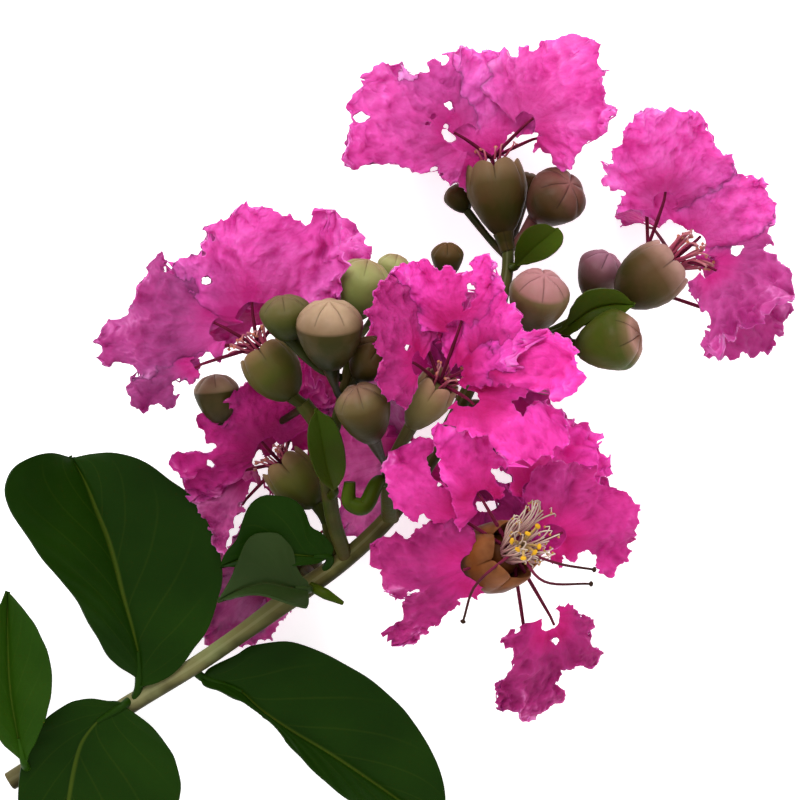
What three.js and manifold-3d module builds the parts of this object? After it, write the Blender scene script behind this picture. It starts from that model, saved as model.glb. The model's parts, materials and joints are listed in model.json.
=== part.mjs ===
// A flowering shoot of crape myrtle, cut from the shrub and laid on its side: a leafy stem that ends in a
// panicle of ruffled blooms and round buds. Sizes are millimetres. X runs to the right, Y away from the
// viewer and Z up from the table that the shoot lies on.
import * as THREE from "three";
import { mergeVertices } from "three/addons/utils/BufferGeometryUtils.js";
import Module from "manifold-3d";

const wasm = await Module();
wasm.setup();

// Space left between two pieces that meet
const CLEARANCE = 0.3;

// Facets of each kind of piece
const LIMB_SIDES = 8;
const STALK_SIDES = 5;
const CLAW_SIDES = 3;
const BUD_SIDES = 12;

// A petal is a thin claw that carries a ruffled fan, in shares of the fan's length but for the two sizes
const PETAL = {
  root: 0.14,
  spread: THREE.MathUtils.degToRad(82),
  waves: 2.6,
  ruffle: 0.15,
  curl: 0.12,
  notch: 0.09,
  thickness: 0.5,
  clawRadius: 0.36,
};
const OPEN_FAN = { across: 8, along: 2 };
const HIDDEN_FAN = { across: 4, along: 2 };

// A bud, a calyx and an ovary as profiles of [radius, height], in shares of the widest radius
const BUD_PROFILE = [
  [0, -1.15],
  [0.34, -1.1],
  [0.8, -0.5],
  [1, 0.1],
  [0.7, 0.76],
  [0, 1.02],
];
const CALYX_PROFILE = [
  [0, -1.95],
  [0.3, -1.9],
  [0.74, -1.1],
  [0.98, -0.1],
  [1.02, 0.3],
  [0.82, 0.3],
  [0.7, -0.3],
  [0, -0.78],
];
const OVARY_PROFILE = [
  [0, -0.68],
  [0.3, -0.5],
  [0.5, 0.3],
  [0, 0.8],
];
const BUD_RIB = 0.035;
const SEPAL_RISE = 0.5;
const SEPAL_FLARE = 0.16;

const LEAF_THICKNESS = 0.5;
const PETIOLE_RADIUS = 0.65;

const COLOURS = {
  bark: { color: 0x8d8660, roughness: 0.7 },
  leaf: { color: 0x1f4a0a, roughness: 0.45 },
  bract: { color: 0x44621a, roughness: 0.5 },
  calyx: { color: 0x5c5a24, roughness: 0.5 },
  bud: { color: 0x6f5c36, roughness: 0.45 },
  petal: { color: 0xe23fa3, roughness: 0.6 },
  stamen: { color: 0xc9a43a, roughness: 0.6 },
};

// Limbs of the panicle from the axis outwards: a path, and the radii from its start to its end
const LIMBS = [
  {
    name: "main_stem",
    radii: [1.4, 1.35, 1.45, 1.3, 1.3, 1.6, 1.35, 1.2, 1.1, 1, 0.9, 0.85],
    steps: 12,
    path: [
      [-55.4, -54.2, 1.4],
      [-47.6, -49.2, 3.2],
      [-38.4, -43.2, 6.4],
      [-28, -36.9, 10.4],
      [-15.4, -27.9, 15],
      [-7.5, -22.2, 18],
      [-1.5, -16.4, 20.5],
      [4.5, -8, 23],
      [9.8, 2, 24.5],
      [13.4, 11, 23.5],
      [15, 17.6, 22],
      [15.2, 21.4, 21.2],
    ],
  },
  {
    name: "branch_left",
    radii: [1.1, 1.15, 1.25, 1.2],
    steps: 6,
    path: [
      [-7.6, -22.3, 18],
      [-9.4, -16.5, 24],
      [-10.3, -9.5, 30],
      [-11.4, -3.6, 32.8],
      [-13.6, -0.4, 33.4],
    ],
  },
  {
    name: "branch_upper_left",
    radii: [0.95, 0.8],
    steps: 4,
    path: [
      [-10.6, -8.4, 30.6],
      [-8.4, -1.5, 36],
      [-7.3, 3.5, 38],
      [-6.3, 9, 36.5],
    ],
  },
  {
    name: "branch_middle",
    radii: [1.35, 1.2, 1.05],
    steps: 4,
    path: [
      [-1.4, -16.4, 20.5],
      [-1.6, -12, 27],
      [-1.4, -8.6, 31.5],
    ],
  },
  {
    name: "branch_front",
    radii: [1.1, 1],
    steps: 4,
    path: [
      [1.5, -12.2, 21.8],
      [5.4, -16, 28],
      [8, -22, 32.5],
    ],
  },
  {
    name: "branch_right",
    radii: [1, 0.95],
    steps: 5,
    path: [
      [12.6, 8.8, 23.9],
      [19, 8.6, 25],
      [25, 11.2, 24.6],
      [29.6, 14, 23.6],
    ],
  },
  {
    name: "branch_under_left",
    radii: [0.95, 0.9],
    steps: 3,
    path: [
      [-9.5, -23.6, 17.2],
      [-9.8, -20, 17],
      [-10.2, -17.2, 17.6],
    ],
  },
];

// Buds: centre, widest radius, direction of the tip, and where the stalk starts on its limb
const BUDS = [
  { name: "bud_top", at: [21.6, 28.2, 23], radius: 4.2, tip: [0.5, 0.75, 0.55], stalk: [15.2, 20.6, 21.4] },
  { name: "bud_top_back", at: [17.8, 29.8, 13.4], radius: 2.3, tip: [0.2, 0.9, -0.4], stalk: [15.2, 20.8, 21.3] },
  { name: "bud_top_left", at: [8.3, 28.4, 16.4], radius: 2, tip: [-0.5, 0.8, -0.2], stalk: [15.1, 20, 21.5] },
  { name: "bud_rose", at: [19.2, 13.9, 32], radius: 4.3, tip: [0.15, 0.8, 0.6], stalk: [17.4, 8.5, 24.9] },
  { name: "bud_small_up", at: [6.6, 19.7, 28.6], radius: 2.3, tip: [0, 1, 0.3], stalk: [11.3, 5.8, 24] },
  { name: "bud_green", at: [-5.4, 15.6, 35.4], radius: 4, tip: [0.25, 1, 0.1], stalk: [-6.5, 8.2, 36.7] },
  { name: "bud_green_small", at: [-1, 18, 29.4], radius: 2.4, tip: [0.3, 1, 0.1], stalk: [-6.5, 8, 36.7] },
  { name: "bud_left", at: [-15.9, 11.8, 42.6], radius: 3.5, tip: [-0.5, 0.8, 0.5], stalk: [-7.5, 2.8, 37.8] },
  { name: "bud_tan", at: [-9.7, 9.2, 46], radius: 4.7, tip: [-0.1, 0.75, 0.75], stalk: [-8, 0, 36.6] },
  { name: "bud_tan_back", at: [-4.1, 5.6, 41.6], radius: 3.2, tip: [0.5, 0.7, 0.5], stalk: [-8.2, -0.8, 36.3] },
  { name: "bud_far_left", at: [-25.6, 0.4, 25.6], radius: 3.2, tip: [-0.7, 0.8, -0.1], stalk: [-13, -0.8, 33.4] },
  { name: "bud_pear", at: [-4.9, -1.7, 43.4], radius: 3.9, tip: [-0.4, 0.75, 0.5], stalk: [-1.4, -9, 31] },
  { name: "bud_right", at: [29.4, 8.2, 27.6], radius: 4.4, tip: [0.85, 0.3, 0.4], stalk: [22.8, 9.8, 24.9] },
  { name: "bud_right_back", at: [28, 17.8, 16.8], radius: 3.3, tip: [-0.3, 0.9, 0.1], stalk: [27.6, 12.8, 24.1] },
  { name: "bud_dark", at: [20, 2.6, 31], radius: 2, tip: [0.6, 0.2, 0.7], stalk: [11.9, 6.8, 24.1] },
];

// Blooms: where the calyx's stalk starts, the calyx's foot and rim, the way the petals' upper sides face,
// and each petal's fan as the x, y and z of its middle and its length
const BLOOMS = [
  {
    name: "top",
    stalk: [15.2, 20.9, 21.3],
    foot: [14.6, 23, 21],
    rim: [13.2, 32.4, 20],
    radius: 4.1,
    face: [0, 0.35, 0.94],
    detail: OPEN_FAN,
    petals: [
      [-2.6, 37.6, 17, 11.5],
      [1.4, 41.8, 24, 13],
      [11.4, 42, 21, 14],
      [21.4, 42.4, 27, 14],
      [22.8, 38.6, 18, 11],
      [5.6, 36.4, 6.7, 12],
    ],
  },
  {
    name: "right",
    stalk: [29, 13.7, 23.8],
    foot: [31.4, 14.6, 23.2],
    rim: [37.2, 18.8, 22],
    radius: 4.1,
    face: [0.45, 0.25, 0.85],
    detail: OPEN_FAN,
    petals: [
      [34.4, 33.2, 19, 12],
      [39.6, 33.8, 28, 12.5],
      [45.6, 25.8, 23, 13],
      [47.6, 17.6, 28, 12],
      [48.8, 10.8, 15, 11.5],
      [34.6, 26.2, 5.9, 10.5],
    ],
  },
  {
    name: "left",
    stalk: [-12.9, -0.8, 33.4],
    foot: [-15.6, 0.6, 34],
    rim: [-20.2, 5.4, 33.4],
    radius: 3.7,
    face: [-0.25, 0.35, 0.9],
    detail: OPEN_FAN,
    petals: [
      [-36.8, 8, 30, 11.5],
      [-30.6, 13.4, 36, 14],
      [-21.4, 19.4, 39, 14],
      [-11, 19.4, 30, 14],
      [-32, 3.6, 37, 11],
      [-19, 13.4, 26.4, 11],
    ],
  },
  {
    name: "lower_left",
    stalk: [-10.2, -17.4, 17.5],
    foot: [-11.2, -15.2, 18.2],
    rim: [-15.8, -9.9, 17.8],
    radius: 3.5,
    face: [-0.3, 0.2, 0.93],
    detail: OPEN_FAN,
    petals: [
      [-22.2, -2.6, 22, 11.5],
      [-16.4, -2.6, 14, 10.5],
      [-26.6, -10.8, 17, 11],
      [-25, -17.4, 15, 11],
      [-20, -14, 11, 11],
      [-12.6, 3.4, 20, 12],
    ],
  },
  {
    name: "centre",
    stalk: [-1.4, -9, 31],
    foot: [0, -6, 33.8],
    rim: [5, 1.6, 39.6],
    radius: 3.5,
    face: [0.2, 0.3, 0.93],
    detail: OPEN_FAN,
    petals: [
      [1.4, 13.8, 41, 13],
      [9.8, 14.4, 45, 11.5],
      [-0.4, 7, 48, 11],
      [15.6, 7.2, 48, 13],
      [20.4, 2.6, 43, 11.5],
      [13.2, -2.2, 49, 12],
    ],
  },
  {
    name: "front",
    stalk: [7.6, -21.4, 32.2],
    foot: [9.4, -23.4, 34.4],
    rim: [14.4, -21.4, 40.5],
    radius: 4.7,
    face: [0.35, -0.1, 0.93],
    detail: OPEN_FAN,
    petals: [
      [2.6, -26.8, 40, 13.5],
      [3.6, -12.6, 42, 14],
      [19.6, -7.2, 38, 13.5],
      [27.2, -16.8, 40, 14],
      [18.4, -39.6, 32, 11],
      [23.4, -34.4, 36, 11],
    ],
  },
  {
    name: "under_left",
    stalk: [-12, -25.6, 16.2],
    foot: [-13, -24.2, 13],
    rim: [-15, -22.8, 7],
    radius: 3.3,
    face: [0, 0, -1],
    detail: HIDDEN_FAN,
    petals: [
      [-22.6, -29.2, 5.2, 12],
      [-26, -24.4, 2.6, 11],
      [-23.6, -17.6, 2.6, 11],
      [-16, -13.6, 2.6, 11],
      [-8, -16, 2.6, 11],
      [-19.6, -31, 2, 8.5],
    ],
  },
  {
    name: "under_middle",
    stalk: [8.4, -1.2, 24.2],
    foot: [9.6, -2.4, 20.6],
    rim: [11, -4, 13],
    radius: 3.6,
    face: [0.1, 0, -1],
    detail: HIDDEN_FAN,
    petals: [
      [3.6, 6.8, 9, 13],
      [15.6, 8, 8, 12.5],
      [19.4, -2.4, 8, 12],
      [19, -14, 6.6, 13],
      [8, -17, 6, 13],
      [-4.4, -9.6, 8.4, 14],
    ],
  },
];

// Stamens in the mouth of the front bloom: short ones that end in anthers, and long ones that curve out
const STAMENS = {
  bloom: "front",
  coreRadii: [1.1, 0.9],
  filamentRadius: 0.24,
  antherRadius: 0.55,
  short: [
    [[15.4, -19.4, 48.2]],
    [[17.6, -18.4, 48]],
    [[19.2, -20.2, 47.6]],
    [[17, -21.8, 49]],
    [[19, -17.4, 46.4]],
  ],
  long: [
    [
      [19.8, -25, 46],
      [26.4, -25.4, 45],
    ],
    [
      [22, -22.6, 47.5],
      [26.8, -23.4, 47],
    ],
    [
      [10.4, -25.6, 46.5],
      [8.7, -30.6, 45],
    ],
  ],
};

// Leaves: where the petiole starts, the blade's base and tip, how far the midrib bows sideways and arches up,
// and for its left and right half the width, the place of the widest part, how blunt the ends are and the fold
const LEAVES = [
  {
    name: "leaf_left",
    petiole: [-37.6, -42.4, 7.4],
    base: [-36.9, -40.4, 8.8],
    tip: [-46.4, -8.2, 15],
    bow: 1.6,
    arch: 1.5,
    left: { width: 14.4, widest: 0.82, blunt: 0.38, fold: 46 },
    right: { width: 14.4, widest: 0.6, blunt: 0.38, fold: 8 },
  },
  {
    name: "leaf_lower_left",
    petiole: [-38.4, -42.6, 7.2],
    base: [-39.2, -43.2, 9.2],
    tip: [-48, -69.6, 0.4],
    bow: 0,
    arch: 1.2,
    left: { width: 11.6, widest: 0.4, blunt: 0.42, fold: 8 },
    right: { width: 11.8, widest: 0.4, blunt: 0.46, fold: 10 },
  },
  {
    name: "leaf_far_left",
    petiole: [-52.6, -52.4, 3.4],
    base: [-53.2, -51.4, 9],
    tip: [-55.4, -27, 11],
    bow: 0,
    arch: 1,
    left: { width: 9, widest: 0.5, blunt: 0.6, fold: 50 },
    right: { width: 7.6, widest: 0.48, blunt: 0.6, fold: 40 },
  },
  {
    name: "leaf_lower_right",
    petiole: [-29.4, -37.8, 10],
    base: [-28, -39.2, 10],
    tip: [6, -61.4, 0.3],
    bow: 0,
    arch: 2,
    left: { width: 13.4, widest: 0.43, blunt: 0.62, fold: 8 },
    right: { width: 10.5, widest: 0.5, blunt: 0.7, fold: 80 },
  },
  {
    name: "leaf_behind_stem",
    petiole: [-11.2, -25, 16.6],
    base: [-9.8, -22.2, 19.6],
    tip: [-24.4, -20.4, 21.5],
    bow: 0,
    arch: 0.8,
    left: { width: 3, widest: 0.5, blunt: 0.6, fold: 10 },
    right: { width: 8.6, widest: 0.5, blunt: 0.6, fold: 10 },
  },
  {
    name: "leaf_curled",
    petiole: [-13.2, -26.6, 15.8],
    base: [-12.4, -27.6, 19.4],
    tip: [-25.4, -27.6, 24.4],
    bow: 0,
    arch: 0.8,
    left: { width: 4.5, widest: 0.5, blunt: 0.6, fold: 72 },
    right: { width: 9.2, widest: 0.44, blunt: 0.7, fold: 8 },
  },
  {
    name: "bract_left",
    petiole: [-9.6, -13.4, 28.4],
    base: [-9, -12.6, 31],
    tip: [-11.6, -1.4, 38],
    bow: 0,
    arch: 0.6,
    left: { width: 2.7, widest: 0.5, blunt: 0.6, fold: 30 },
    right: { width: 2.7, widest: 0.5, blunt: 0.6, fold: 30 },
  },
  {
    name: "bract_right",
    petiole: [21.2, 9.2, 25.4],
    base: [22, 10.2, 27],
    tip: [32.6, 14.2, 27],
    bow: 0,
    arch: 0.6,
    left: { width: 3, widest: 0.5, blunt: 0.6, fold: 20 },
    right: { width: 2.6, widest: 0.5, blunt: 0.6, fold: 30 },
  },
  {
    name: "bract_top",
    petiole: [15.6, 18.6, 22.2],
    base: [16.6, 19.4, 24.4],
    tip: [22.6, 24.6, 26.8],
    bow: 0,
    arch: 0.5,
    left: { width: 2.2, widest: 0.45, blunt: 0.6, fold: 20 },
    right: { width: 2.8, widest: 0.45, blunt: 0.6, fold: 30 },
  },
];

// Narrow bracts: one that curls up into a hook beside the middle branch, and one at the curled leaf's node
const NARROW_BRACTS = [
  {
    name: "bract_hook",
    radii: [0.7, 1.1, 1.25, 0.8],
    steps: 6,
    path: [
      [-1.8, -11.4, 27.6],
      [-3.2, -11.6, 30.6],
      [-5, -14.8, 31.4],
      [-7, -14.2, 31.4],
      [-7, -11.4, 31.8],
    ],
  },
  {
    name: "bract_node",
    radii: [0.7, 0.8, 0.3],
    steps: 3,
    path: [
      [-12.6, -26.2, 17.4],
      [-10.6, -27.2, 18.6],
      [-8, -28.6, 18],
    ],
  },
];

const vector = (xyz) => new THREE.Vector3(...xyz);

// Moves each vertex of a geometry to the place that a rule gives for it.
function reshape(geometry, rule) {
  const position = geometry.getAttribute("position");
  for (let i = 0; i < position.count; i += 1) {
    const place = rule(position.getX(i), position.getY(i), position.getZ(i));
    position.setXYZ(i, place.x, place.y, place.z);
  }
  return geometry;
}

// Turns a closed geometry into a solid that can be joined and cut.
function solidOf(geometry) {
  geometry.deleteAttribute("normal");
  geometry.deleteAttribute("uv");
  const merged = mergeVertices(geometry, 1e-4);
  const corners = merged.index.array;
  const kept = [];
  for (let i = 0; i < corners.length; i += 3) {
    const [a, b, c] = [corners[i], corners[i + 1], corners[i + 2]];
    if (a !== b && b !== c && c !== a) kept.push(a, b, c);
  }
  return new wasm.Manifold(
    new wasm.Mesh({
      numProp: 3,
      vertProperties: merged.getAttribute("position").array,
      triVerts: new Uint32Array(kept),
    }),
  );
}

function geometryOf(solid) {
  const mesh = solid.getMesh();
  const geometry = new THREE.BufferGeometry();
  geometry.setAttribute("position", new THREE.BufferAttribute(mesh.vertProperties, 3));
  geometry.setIndex(new THREE.BufferAttribute(mesh.triVerts, 1));
  geometry.computeVertexNormals();
  return geometry;
}

// Keeps the largest body of a solid, with its sealed hollows filled and its loose scraps dropped.
function mainBody(solid) {
  const bodies = solid.decompose().filter((body) => body.volume() > 0);
  bodies.sort((a, b) => b.volume() - a.volume());
  return bodies[0];
}

// A limb that tapers along a smooth path, grown all round by a margin where it stands for a clearance.
function limb(points, radii, sides, steps, margin = 0) {
  const curve = new THREE.CatmullRomCurve3(points.map(vector));
  const frames = curve.computeFrenetFrames(steps, false);
  const radiusAt = (share) => {
    const place = share * (radii.length - 1);
    const before = Math.min(Math.floor(place), radii.length - 2);
    return THREE.MathUtils.lerp(radii[before], radii[before + 1], place - before) + margin;
  };
  const cylinder = new THREE.CylinderGeometry(1, 1, 1, sides, steps);
  const bent = reshape(cylinder, (x, y, z) => {
    const step = Math.round((y + 0.5) * steps);
    const radius = radiusAt(step / steps);
    const normal = frames.normals[step];
    const side = new THREE.Vector3().crossVectors(normal, frames.tangents[step]);
    return curve
      .getPointAt(step / steps)
      .addScaledVector(normal, x * radius)
      .addScaledVector(side, z * radius);
  });
  return solidOf(bent);
}

// Turns a piece made upright about the origin so that it points along a direction from a place.
function stand(geometry, place, direction) {
  const upright = new THREE.Vector3(0, 1, 0);
  const turn = new THREE.Quaternion().setFromUnitVectors(upright, direction.clone().normalize());
  geometry.applyQuaternion(turn);
  geometry.translate(place.x, place.y, place.z);
  return geometry;
}

function turned(profile, sides) {
  return new THREE.LatheGeometry(
    profile.map(([radius, height]) => new THREE.Vector2(radius, height)),
    sides,
  );
}

// A stalk that leaves its limb and bends in line with the piece it carries.
function stalk(from, foot, axis, radii, margin) {
  const start = vector(from);
  const bow = start.clone().lerp(foot, 0.55).addScaledVector(axis, -0.15 * start.distanceTo(foot));
  return limb([from, bow.toArray(), foot.toArray()], radii, STALK_SIDES, 2, margin);
}

// A round bud with six low ribs, on its stalk.
function budSolid(bud, margin = 0) {
  const at = vector(bud.at);
  const tip = vector(bud.tip).normalize();
  const size = bud.radius + margin;
  const ball = reshape(turned(BUD_PROFILE, BUD_SIDES), (x, y, z) => {
    const rib = size * (1 + BUD_RIB * Math.cos(6 * Math.atan2(z, x)));
    return new THREE.Vector3(x * rib, y * size, z * rib);
  });
  const foot = at.clone().addScaledVector(tip, -0.9 * bud.radius);
  return solidOf(stand(ball, at, tip)).add(stalk(bud.stalk, foot, tip, [0.6, 0.24 * bud.radius], margin));
}

const axisOf = (bloom) => vector(bloom.rim).sub(vector(bloom.foot)).normalize();

// The open cup of a calyx, with six sepals at its rim, on its stalk.
function calyxSolid(bloom, margin = 0) {
  const rim = vector(bloom.rim);
  const axis = axisOf(bloom);
  const size = bloom.radius + margin;
  const cup = reshape(turned(CALYX_PROFILE, BUD_SIDES), (x, y, z) => {
    const lobe = Math.max(0, Math.cos(6 * Math.atan2(z, x)));
    const open = THREE.MathUtils.smoothstep(y, -0.2, 0.3) * lobe;
    const flare = 1 + SEPAL_FLARE * open;
    return new THREE.Vector3(x * flare, y + SEPAL_RISE * open, z * flare).multiplyScalar(size);
  });
  const foot = rim.clone().addScaledVector(axis, -1.7 * bloom.radius);
  return solidOf(stand(cup, rim, axis)).add(stalk(bloom.stalk, foot, axis, [0.8, 1.1], margin));
}

// Where a petal's claw leaves the ovary, and where its fan starts and points.
function petalPlan(bloom, [x, y, z, length]) {
  const heart = vector(bloom.rim).addScaledVector(axisOf(bloom), 0.4 * bloom.radius);
  const centre = new THREE.Vector3(x, y, z);
  const along = centre.clone().sub(heart).normalize();
  const root = centre.clone().addScaledVector(along, -0.5 * length);
  return { heart, root, along, length };
}

// The ruffled fan of one petal.
function fan(bloom, plan, phase, thickness) {
  const { root, along, length } = plan;
  const face = vector(bloom.face);
  const up = face.addScaledVector(along, -face.dot(along)).normalize();
  const side = new THREE.Vector3().crossVectors(along, up);
  const sheet = new THREE.BoxGeometry(2, 1, 1, bloom.detail.across, bloom.detail.along, 1);
  const ruffled = reshape(sheet, (x, y, z) => {
    const out = THREE.MathUtils.lerp(PETAL.root, 1, y + 0.5);
    const angle = x * PETAL.spread;
    const margin = Math.cos(angle) ** 0.4 * (1 + PETAL.notch * Math.sin(7 * x + 2 * phase));
    const reach = length * out * margin;
    const wave = PETAL.ruffle * out ** 1.4 * Math.sin(Math.PI * PETAL.waves * x + phase);
    const lift = length * (wave - PETAL.curl * out * out) + z * thickness;
    return root
      .clone()
      .addScaledVector(along, reach * Math.cos(angle))
      .addScaledVector(side, reach * Math.sin(angle))
      .addScaledVector(up, lift);
  });
  return solidOf(ruffled);
}

// The thin claw that carries a fan out of the calyx.
function claw({ heart, root, along, length }, margin = 0) {
  const end = root.clone().addScaledVector(along, 0.24 * length);
  const radii = [PETAL.clawRadius, PETAL.clawRadius];
  return limb([heart.toArray(), end.toArray()], radii, CLAW_SIDES, 1, margin);
}

// All the petals of a bloom, joined at the ovary.
function petalsSolid(bloom, margin = 0) {
  const ovary = turned(OVARY_PROFILE, STALK_SIDES);
  const size = bloom.radius + margin;
  ovary.scale(size, size, size);
  const thickness = PETAL.thickness + 2 * margin;
  let joined = solidOf(stand(ovary, vector(bloom.rim), axisOf(bloom)));
  bloom.petals.forEach((petal, index) => {
    const plan = petalPlan(bloom, petal);
    joined = joined.add(claw(plan, margin)).add(fan(bloom, plan, 1.7 * index, thickness));
  });
  return joined;
}

// The room that a calyx takes up, with space on both sides of its wall and open only for its own claws.
function calyxSleeve(bloom) {
  const walls = [-CLEARANCE, 0, CLEARANCE].map((margin) => calyxSolid(bloom, margin));
  return walls.reduce((room, wall) => room.add(wall)).subtract(clawTool(bloom, 0.1));
}

// The claws of a bloom with space round them, as a tool that opens the calyx for them.
function clawTool(bloom, margin) {
  const claws = bloom.petals.map((petal) => claw(petalPlan(bloom, petal), margin));
  return claws.reduce((tool, next) => tool.add(next));
}

// A tuft of stamens that rises from the ovary of its bloom.
function stamensSolid(bloom, margin = 0) {
  const heart = vector(bloom.rim);
  const top = heart.clone().addScaledVector(axisOf(bloom), 0.95 * bloom.radius);
  let tuft = limb([heart.toArray(), top.toArray()], STAMENS.coreRadii, STALK_SIDES, 1, margin);
  const radii = [1.6 * STAMENS.filamentRadius, STAMENS.filamentRadius];
  for (const path of [...STAMENS.short, ...STAMENS.long]) {
    const start = heart.clone().lerp(top, 0.7).toArray();
    const anther = new THREE.OctahedronGeometry(STAMENS.antherRadius + margin);
    anther.translate(...path.at(-1));
    tuft = tuft.add(limb([start, ...path], radii, CLAW_SIDES, path.length, margin)).add(solidOf(anther));
  }
  return tuft;
}

// Half of a leaf's outline: its width at a share of the length.
function halfWidth({ width, widest, blunt }, share) {
  const place = share ** (Math.log(0.5) / Math.log(widest));
  return width * (0.06 + 0.94 * Math.max(0, Math.sin(Math.PI * place)) ** blunt);
}

// A leaf: a blade folded along its midrib, on a short petiole.
function leafSolid(leaf, margin = 0) {
  const base = vector(leaf.base);
  const tip = vector(leaf.tip);
  const length = tip.distanceTo(base);
  const along = tip.clone().sub(base).normalize();
  const zenith = new THREE.Vector3(0, 0, 1);
  const up = zenith.addScaledVector(along, -zenith.dot(along)).normalize();
  const side = new THREE.Vector3().crossVectors(along, up);
  const rows = length > 15 ? 7 : 3;
  const blade = reshape(new THREE.BoxGeometry(2, 1, 1, 4, rows, 1), (x, y, z) => {
    const out = 0.5 - 0.5 * Math.cos(Math.PI * (y + 0.5));
    const half = x < 0 ? leaf.left : leaf.right;
    const fold = THREE.MathUtils.degToRad(half.fold);
    const reach = halfWidth(half, out) * Math.abs(x);
    const bulge = Math.sin(Math.PI * out);
    return base
      .clone()
      .addScaledVector(along, length * out)
      .addScaledVector(side, leaf.bow * bulge + Math.sign(x) * reach * Math.cos(fold))
      .addScaledVector(up, leaf.arch * bulge + reach * Math.sin(fold) + z * (LEAF_THICKNESS + 2 * margin));
  });
  const inside = base.clone().addScaledVector(along, 0.12 * length).addScaledVector(up, 0.3 * leaf.arch);
  const points = [leaf.petiole, leaf.base, inside.toArray()];
  return solidOf(blade).add(limb(points, [PETIOLE_RADIUS, 0.5], STALK_SIDES, 2, margin));
}

function meets(a, b) {
  return [0, 1, 2].every((i) => a.min[i] < b.max[i] && b.min[i] < a.max[i]);
}

// Finished pieces by name, each with a slightly larger copy that later pieces are kept clear of
const pieces = new Map();

function place(name, kind, solid, sleeve) {
  let cleared = solid;
  for (const other of pieces.values()) {
    if (meets(cleared.boundingBox(), other.sleeve.boundingBox())) cleared = cleared.subtract(other.sleeve);
  }
  pieces.set(name, { kind, solid: mainBody(cleared), sleeve });
}

for (const { name, path, radii, steps } of LIMBS) {
  place(name, "bark", limb(path, radii, LIMB_SIDES, steps), limb(path, radii, LIMB_SIDES, steps, CLEARANCE));
}
for (const bud of BUDS) {
  place(bud.name, "bud", budSolid(bud), budSolid(bud, CLEARANCE));
}
for (const bloom of BLOOMS) {
  const cup = calyxSolid(bloom).subtract(clawTool(bloom, CLEARANCE));
  place(`calyx_${bloom.name}`, "calyx", cup, calyxSleeve(bloom));
}
const open = BLOOMS.find((bloom) => bloom.name === STAMENS.bloom);
place(`stamens_${open.name}`, "stamen", stamensSolid(open), stamensSolid(open, CLEARANCE));
for (const leaf of LEAVES) {
  const kind = leaf.name.startsWith("leaf") ? "leaf" : "bract";
  place(leaf.name, kind, leafSolid(leaf), leafSolid(leaf, CLEARANCE));
}
for (const { name, path, radii, steps } of NARROW_BRACTS) {
  place(name, "bract", limb(path, radii, STALK_SIDES, steps), limb(path, radii, STALK_SIDES, steps, CLEARANCE));
}
for (const bloom of BLOOMS) {
  place(`petals_${bloom.name}`, "petal", petalsSolid(bloom), petalsSolid(bloom, CLEARANCE));
}

const shoot = new THREE.Group();
for (const [name, { kind, solid }] of pieces) {
  const material = new THREE.MeshStandardMaterial({ metalness: 0, ...COLOURS[kind] });
  const mesh = new THREE.Mesh(geometryOf(solid), material);
  mesh.name = name;
  shoot.add(mesh);
}

// The origin is on the table, under the middle of the shoot.
const extent = new THREE.Box3().setFromObject(shoot);
const middle = extent.getCenter(new THREE.Vector3());
shoot.position.set(-middle.x, -middle.y, -extent.min.z);

export default shoot;
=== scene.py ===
"""Looks of a crape myrtle's flowering shoot that lies cut on a pale table.

The tables are in millimetres in the picture's own frame: its middle is the origin, X runs to the right, Y up the
picture and Z towards the camera. Site carries them into the part's frame, in metres.
"""

import json
import logging
import math
from bisect import bisect_right
from collections.abc import Callable, Mapping, Sequence
from dataclasses import dataclass
from enum import Enum
from typing import NamedTuple

import bmesh
import bpy
import numpy
from bmesh.types import BMEdge, BMVert
from bpy.types import Material, Node, NodeSocket, NodeTree, Object
from mathutils import Matrix, Vector, noise


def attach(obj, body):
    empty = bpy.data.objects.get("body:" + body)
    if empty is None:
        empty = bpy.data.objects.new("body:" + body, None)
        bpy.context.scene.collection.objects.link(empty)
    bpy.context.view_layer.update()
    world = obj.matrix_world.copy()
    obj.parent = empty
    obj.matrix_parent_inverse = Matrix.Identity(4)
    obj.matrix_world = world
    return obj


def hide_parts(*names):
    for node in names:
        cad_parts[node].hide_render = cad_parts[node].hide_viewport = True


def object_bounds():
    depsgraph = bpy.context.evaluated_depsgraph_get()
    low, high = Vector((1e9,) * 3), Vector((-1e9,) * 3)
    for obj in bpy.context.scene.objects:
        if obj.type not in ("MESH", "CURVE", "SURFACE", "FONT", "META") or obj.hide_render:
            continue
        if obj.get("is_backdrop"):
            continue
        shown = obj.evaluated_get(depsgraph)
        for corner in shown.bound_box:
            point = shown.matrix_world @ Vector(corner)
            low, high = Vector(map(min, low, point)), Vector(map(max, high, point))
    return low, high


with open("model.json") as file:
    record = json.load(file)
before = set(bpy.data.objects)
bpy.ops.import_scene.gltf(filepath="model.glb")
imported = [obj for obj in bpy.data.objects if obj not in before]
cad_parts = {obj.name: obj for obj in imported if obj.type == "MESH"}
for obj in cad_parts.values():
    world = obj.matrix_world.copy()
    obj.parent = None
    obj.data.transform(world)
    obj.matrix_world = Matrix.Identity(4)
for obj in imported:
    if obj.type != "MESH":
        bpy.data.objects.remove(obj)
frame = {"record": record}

log = logging.getLogger("shoot")
noise.seed_set(11)

Vec = tuple[float, float, float]
Pixel = tuple[float, float]
Pixels = tuple[Pixel, ...]
Card = tuple[int, int, int]
Stops = tuple[tuple[float, int, int, int], ...]
Colour = tuple[float, float, float, float]
Span = tuple[float, float]
Input = float | Colour | NodeSocket
Inputs = Mapping[str | int, Input]
Rule = Callable[[float, float], tuple[Vector, float]]

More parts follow.
